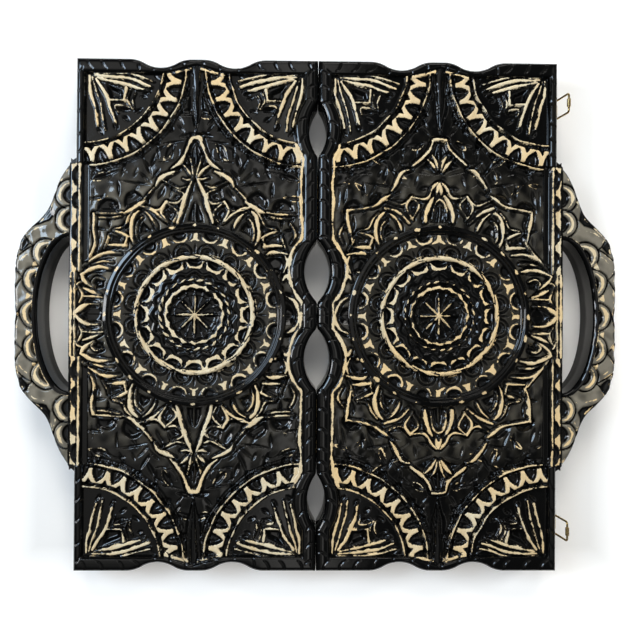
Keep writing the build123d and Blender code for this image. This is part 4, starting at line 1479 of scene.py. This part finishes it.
def handleGrid(rows, outline):
    # points over the handle, with their distances from its outer edge and from the opening
    look = handle
    centre, reach, half = look["gapCentre"], look["gapReach"], look["gapHalf"]
    bulge = np.sqrt(np.clip(1 - (rows / half) ** 2, 0, 1))
    inner = np.where(np.abs(rows) < half, centre + reach * bulge, centre)
    outer = np.maximum(outline, inner)
    s = np.concatenate([np.linspace(0, 0.14, 10)[:-1], np.linspace(0.14, 0.84, look["across"] - 20),
                        np.linspace(0.84, 1, 12)[1:]])
    x = inner[:, None] + s * (outer - inner)[:, None]
    y = np.repeat(rows[:, None], len(s), 1)
    slope = np.gradient(outline, rows)
    toOuter = np.clip((outline[:, None] - x) / np.sqrt(1 + slope[:, None] ** 2), 0, None)
    gapShape = np.hypot((x - centre) / reach, y / half)
    steep = np.hypot((x - centre) / reach ** 2, y / half ** 2) / np.clip(gapShape, 0.5, None)
    toGap = np.clip((gapShape - 1) / np.clip(steep, 1e-4, None), 0, None)
    return x.ravel(), y.ravel(), toOuter.ravel(), toGap.ravel(), len(s)


def ribGrid(rows, outline):
    # the strip of the handle along the half's wall: places, heights and bare wood
    look = handle
    start = case["halfWidth"]
    s = np.linspace(0, 1, look["ribAcross"])
    outer = np.minimum(np.maximum(outline, start), look["gapCentre"])
    x = start - look["ribStart"] + s * (outer - start + look["ribStart"])[:, None]
    x, y = x.ravel(), np.repeat(rows[:, None], len(s), 1).ravel()
    lines = np.minimum(np.abs(x - look["ribLine"]) - 0.5, look["gapCentre"] - 0.7 - x)
    band = sideBand(x - case["medallionX"], np.abs(y)) - 0.4
    bare = np.where(np.abs(y) < 50, np.minimum(lines, 2), band)
    height = look["top"] + 0.25 * smooth(bare, -1, 0.4) - 1.6 * smooth(-bare, 0.3, 4) - 0.35
    height = np.where(x > look["gapCentre"] - 0.4, height - 0.4, height)
    return x, y, height, bare


class Slabs:
    # curved slabs, each of an upper and a lower sheet of points with walls between their edges
    def __init__(self, sign):
        self.sign = sign
        self.points, self.faces, self.bare, self.paintedSheen = [], [], [], []

    def addQuads(self, quads, flipped):
        self.faces.extend((quads[:, ::-1] if flipped else quads).tolist())

    def sheet(self, x, y, z, bare, paintedSheen, count, flipped):
        index = np.arange(x.size).reshape(-1, count) + sum(len(points) for points in self.points)
        self.addQuads(gridQuads(index), flipped)
        self.points.append(np.stack([x * self.sign, y, z], 1))
        self.bare.append(bare)
        self.paintedSheen.append(paintedSheen)
        return index

    def add(self, x, y, top, bottom, bare, paintedSheen, count):
        mirrored = self.sign < 0
        plain = np.zeros(x.size)
        upper = self.sheet(x, y, top, bare, paintedSheen, count, mirrored)
        lower = self.sheet(x, y, bottom, plain + wallBare, plain, count, not mirrored)
        for edge, flipped in ((np.s_[:, -1], not mirrored), (np.s_[:, 0], mirrored),
                              (np.s_[0, :], not mirrored), (np.s_[-1, :], mirrored)):
            high, deep = upper[edge], lower[edge]
            self.addQuads(np.stack([high[:-1], high[1:], deep[1:], deep[:-1]], 1), flipped)


def buildHandle(side, sign, seed):
    look = handle
    top = look["top"]
    rows = handleRows()
    outline = readOutline(frame["nodes"]["right_handle"], rows)
    x, y, toOuter, toGap, count = handleGrid(rows, outline)
    face = CarvedFace(x + 0.7 * wobble(x, y, 30, seed), np.abs(y + 0.7 * wobble(x, y, 26, seed + 1)),
                      top + 0.35 * wobble(x, y, 22, seed + 2) - 0.3)
    face.open = toGap > 5.8
    carveHandle(face, rows, outline)
    # thin bare line where the rounding into the opening begins, bare dabs along the outer edge
    face.layBare(0.75 - np.abs(toGap - 5.4))
    dabs = 0.9 * wobble(x, y, 13, seed + 6) - np.abs(toOuter - 3.4) * 0.8 + 0.5
    face.layBare(np.where(face.open, np.minimum(dabs, 0.9), -4))
    face.height -= rounding(toOuter, look["outerRound"])
    face.height -= rounding(toGap, look["gapRound"])
    face.bare = np.where(toGap < 4.4, -2, face.bare)
    face.height = np.minimum(face.height, top + 0.9)
    # painted sheen on the handle's high flats, none in the rounding into the opening and thinning at the
    # outer edge
    sheenShare = smooth(face.height, top - 1.9, top - 0.9) * (1 + 0.35 * wobble(x, y, 19, seed + 5))
    sheenShare = np.where(toGap < 5.5, 0, sheenShare) * smooth(toOuter, 0.6, 3.0)
    low = look["bottom"] + look["bottomRound"] * (1 - smooth(np.minimum(toOuter, toGap + 3), 0, 5))
    slabs = Slabs(sign)
    slabs.add(x, y, face.height, low, face.bare, sheenShare, count)
    x, y, height, bare = ribGrid(rows, outline)
    slabs.add(x, y, height, np.full(x.size, look["bottom"]), bare, np.zeros(x.size), look["ribAcross"])
    obj = makeObject(side + "_handle_carved", np.vstack(slabs.points), slabs.faces, carvedLacquer,
                     {"bare": np.concatenate(slabs.bare), "paintedSheen": np.concatenate(slabs.paintedSheen)})
    work = bmesh.new()
    work.from_mesh(obj.data)
    bmesh.ops.dissolve_degenerate(work, edges=work.edges, dist=0.000001)
    work.to_mesh(obj.data)
    work.free()
    obj.data.set_sharp_from_angle(angle=math.radians(50))
    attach(obj, side + "_half")
    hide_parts(side + "_handle")
    print(obj.name, "faces", len(obj.data.polygons))


buildHalf("left", -1, 11)
buildHalf("right", 1, 47)
buildMedallions()
buildHandle("left", -1, 71)
buildHandle("right", 1, 83)

# the parts that are carried over from the CAD get their materials
finishOf = {"black_lacquer": plainLacquer, "light_wood": lightWood, "dark_wood": darkWood,
            "board_wood": boardWood, "brass": brass}
for row in frame["record"]["subparts"]:
    node = frame["nodes"][row["node"]]
    node.data.materials.clear()
    node.data.materials.append(finishOf[row["material_slot"]])

stage = {
    "floorSize": 6.0,
    "floorColour": (0.86, 0.86, 0.85),
    "floorRough": 0.7,
    "boardReach": (0.36, 0.30),
    "nearGlow": (0.95, 1.12, 0.08, 0.42),
    "farGlow": (1.5, 5.0, 0.0, 0.5),
    "cameraPlace": (-0.01592, -0.00347, 0.8465),
    "cameraTurn": (0.271, -0.963, 0.333),
    "sensor": 36,
    "focal": 682.6 / 630 * 36,
}

# the room's light by direction, each a range that is mapped to strengths
room = {
    "leftward": (0.05, -0.26, 0.0, 0.48),
    "upward": (-0.30, 0.16, 0.30, 1.0),
    "overhead": (0.78, 0.88),
    "rightward": (0.32, 0.42, 0.0, 0.25),
    "aside": (0.72, 0.80),
    "middle": (0.09, 0.02, 0.0, 0.7),
    "least": 0.03,
    "colour": (1.0, 0.98, 0.93, 1),
}

# name, place, size, power, colour and whether the lacquer mirrors the lamp; all face the board's middle
lamps = (
    ("window", (-1.15, 0.45, 1.30), (0.55, 0.75), 12, (0.62, 0.80, 1.0), True),
    ("leftLamp", (-1.7, 0.1, 0.95), (0.4, 0.8), 9, (0.95, 0.97, 1.0), True),
    ("upperLamp", (0.1, 1.75, 1.6), (1.5, 0.7), 36, (1.0, 0.97, 0.92), False),
    ("rimLamp", (0.1, 1.75, 1.2), (1.2, 0.25), 3, (1.0, 0.97, 0.92), True),
    ("lowerLamp", (0.3, -1.9, 1.5), (1.2, 0.4), 12, (1.0, 0.95, 0.88), False),
    ("sideLamp", (1.6, 0.5, 1.0), (0.4, 0.7), 12, (0.93, 0.97, 1.0), False),
)


def makeStage():
    half = stage["floorSize"] / 2
    corners = np.array([(-half, -half, 0), (half, -half, 0), (half, half, 0), (-half, half, 0)])
    floor = makeObject("floor", corners / mm, [[0, 1, 2, 3]])
    material, tree, shader = newMaterial("paleFloor")
    setInputs(tree, shader, {"Base Color": (*stage["floorColour"], 1), "Roughness": stage["floorRough"]})
    # under the board the floor stays dim; away from it it lightens into the white background
    axes = addNode(tree, "ShaderNodeSeparateXYZ", {0: coordinates(tree)}).outputs
    sides = [mathNode(tree, "DIVIDE", mathNode(tree, "ABSOLUTE", axes[axis]), reach)
             for axis, reach in zip("XY", stage["boardReach"])]
    away = mathNode(tree, "MAXIMUM", *sides)
    sweep = mathNode(tree, "ADD", mapRange(tree, away, *stage["nearGlow"]),
                     mapRange(tree, away, *stage["farGlow"]))
    seen = addNode(tree, "ShaderNodeLightPath").outputs["Is Camera Ray"]
    glow = addNode(tree, "ShaderNodeEmission", {"Strength": mathNode(tree, "MULTIPLY", seen, sweep)})
    add = addNode(tree, "ShaderNodeAddShader", {0: shader.outputs[0], 1: glow.outputs[0]})
    setInputs(tree, tree.nodes["Material Output"], {"Surface": add.outputs[0]})
    floor.data.materials.append(material)


def areaLamp(name, place, size, power, colour, mirrored):
    lamp = bpy.data.lights.new(name, "AREA")
    lamp.shape = "RECTANGLE"
    lamp.size, lamp.size_y = size
    lamp.energy = power
    lamp.color = colour
    obj = bpy.data.objects.new(name, lamp)
    obj.location = place
    obj.rotation_euler = (-Vector(place)).to_track_quat("-Z", "Y").to_euler()
    obj.visible_glossy = mirrored
    bpy.context.scene.collection.objects.link(obj)


def makeWorld():
    # a dim room, lighter overhead towards the upper left and again low on the right
    world = bpy.data.worlds.new("softRoom")
    bpy.context.scene.world = world
    world.use_nodes = True
    tree = world.node_tree
    axes = addNode(tree, "ShaderNodeSeparateXYZ", {0: coordinates(tree, "Generated")}).outputs
    overhead = mapRange(tree, axes["Z"], *room["overhead"])
    patch = mathNode(tree, "MULTIPLY", mapRange(tree, axes["X"], *room["leftward"]),
                     mapRange(tree, axes["Y"], *room["upward"]))
    patch = mathNode(tree, "MULTIPLY", patch, overhead)
    rightward = mathNode(tree, "MULTIPLY", mapRange(tree, axes["X"], *room["rightward"]),
                         mapRange(tree, axes["Z"], *room["aside"]))
    offMiddle = mathNode(tree, "ABSOLUTE", axes["X"])
    middle = mathNode(tree, "MULTIPLY", mapRange(tree, offMiddle, *room["middle"]), overhead)
    glow = mathNode(tree, "ADD", mathNode(tree, "ADD", patch, rightward), middle)
    total = mathNode(tree, "ADD", glow, room["least"])
    seen = addNode(tree, "ShaderNodeLightPath").outputs["Is Camera Ray"]
    setInputs(tree, tree.nodes["Background"], {
        "Color": room["colour"], "Strength": mathNode(tree, "MAXIMUM", total, seen)})


def makeCamera():
    camera = bpy.data.cameras.new("camera")
    camera.lens = stage["focal"]
    camera.sensor_width = stage["sensor"]
    obj = bpy.data.objects.new("camera", camera)
    obj.location = stage["cameraPlace"]
    obj.rotation_euler = [math.radians(t) for t in stage["cameraTurn"]]
    bpy.context.scene.collection.objects.link(obj)
    bpy.context.scene.camera = obj


makeStage()
makeWorld()
for lamp in lamps:
    areaLamp(*lamp)
makeCamera()
bpy.context.scene.view_settings.view_transform = "Standard"
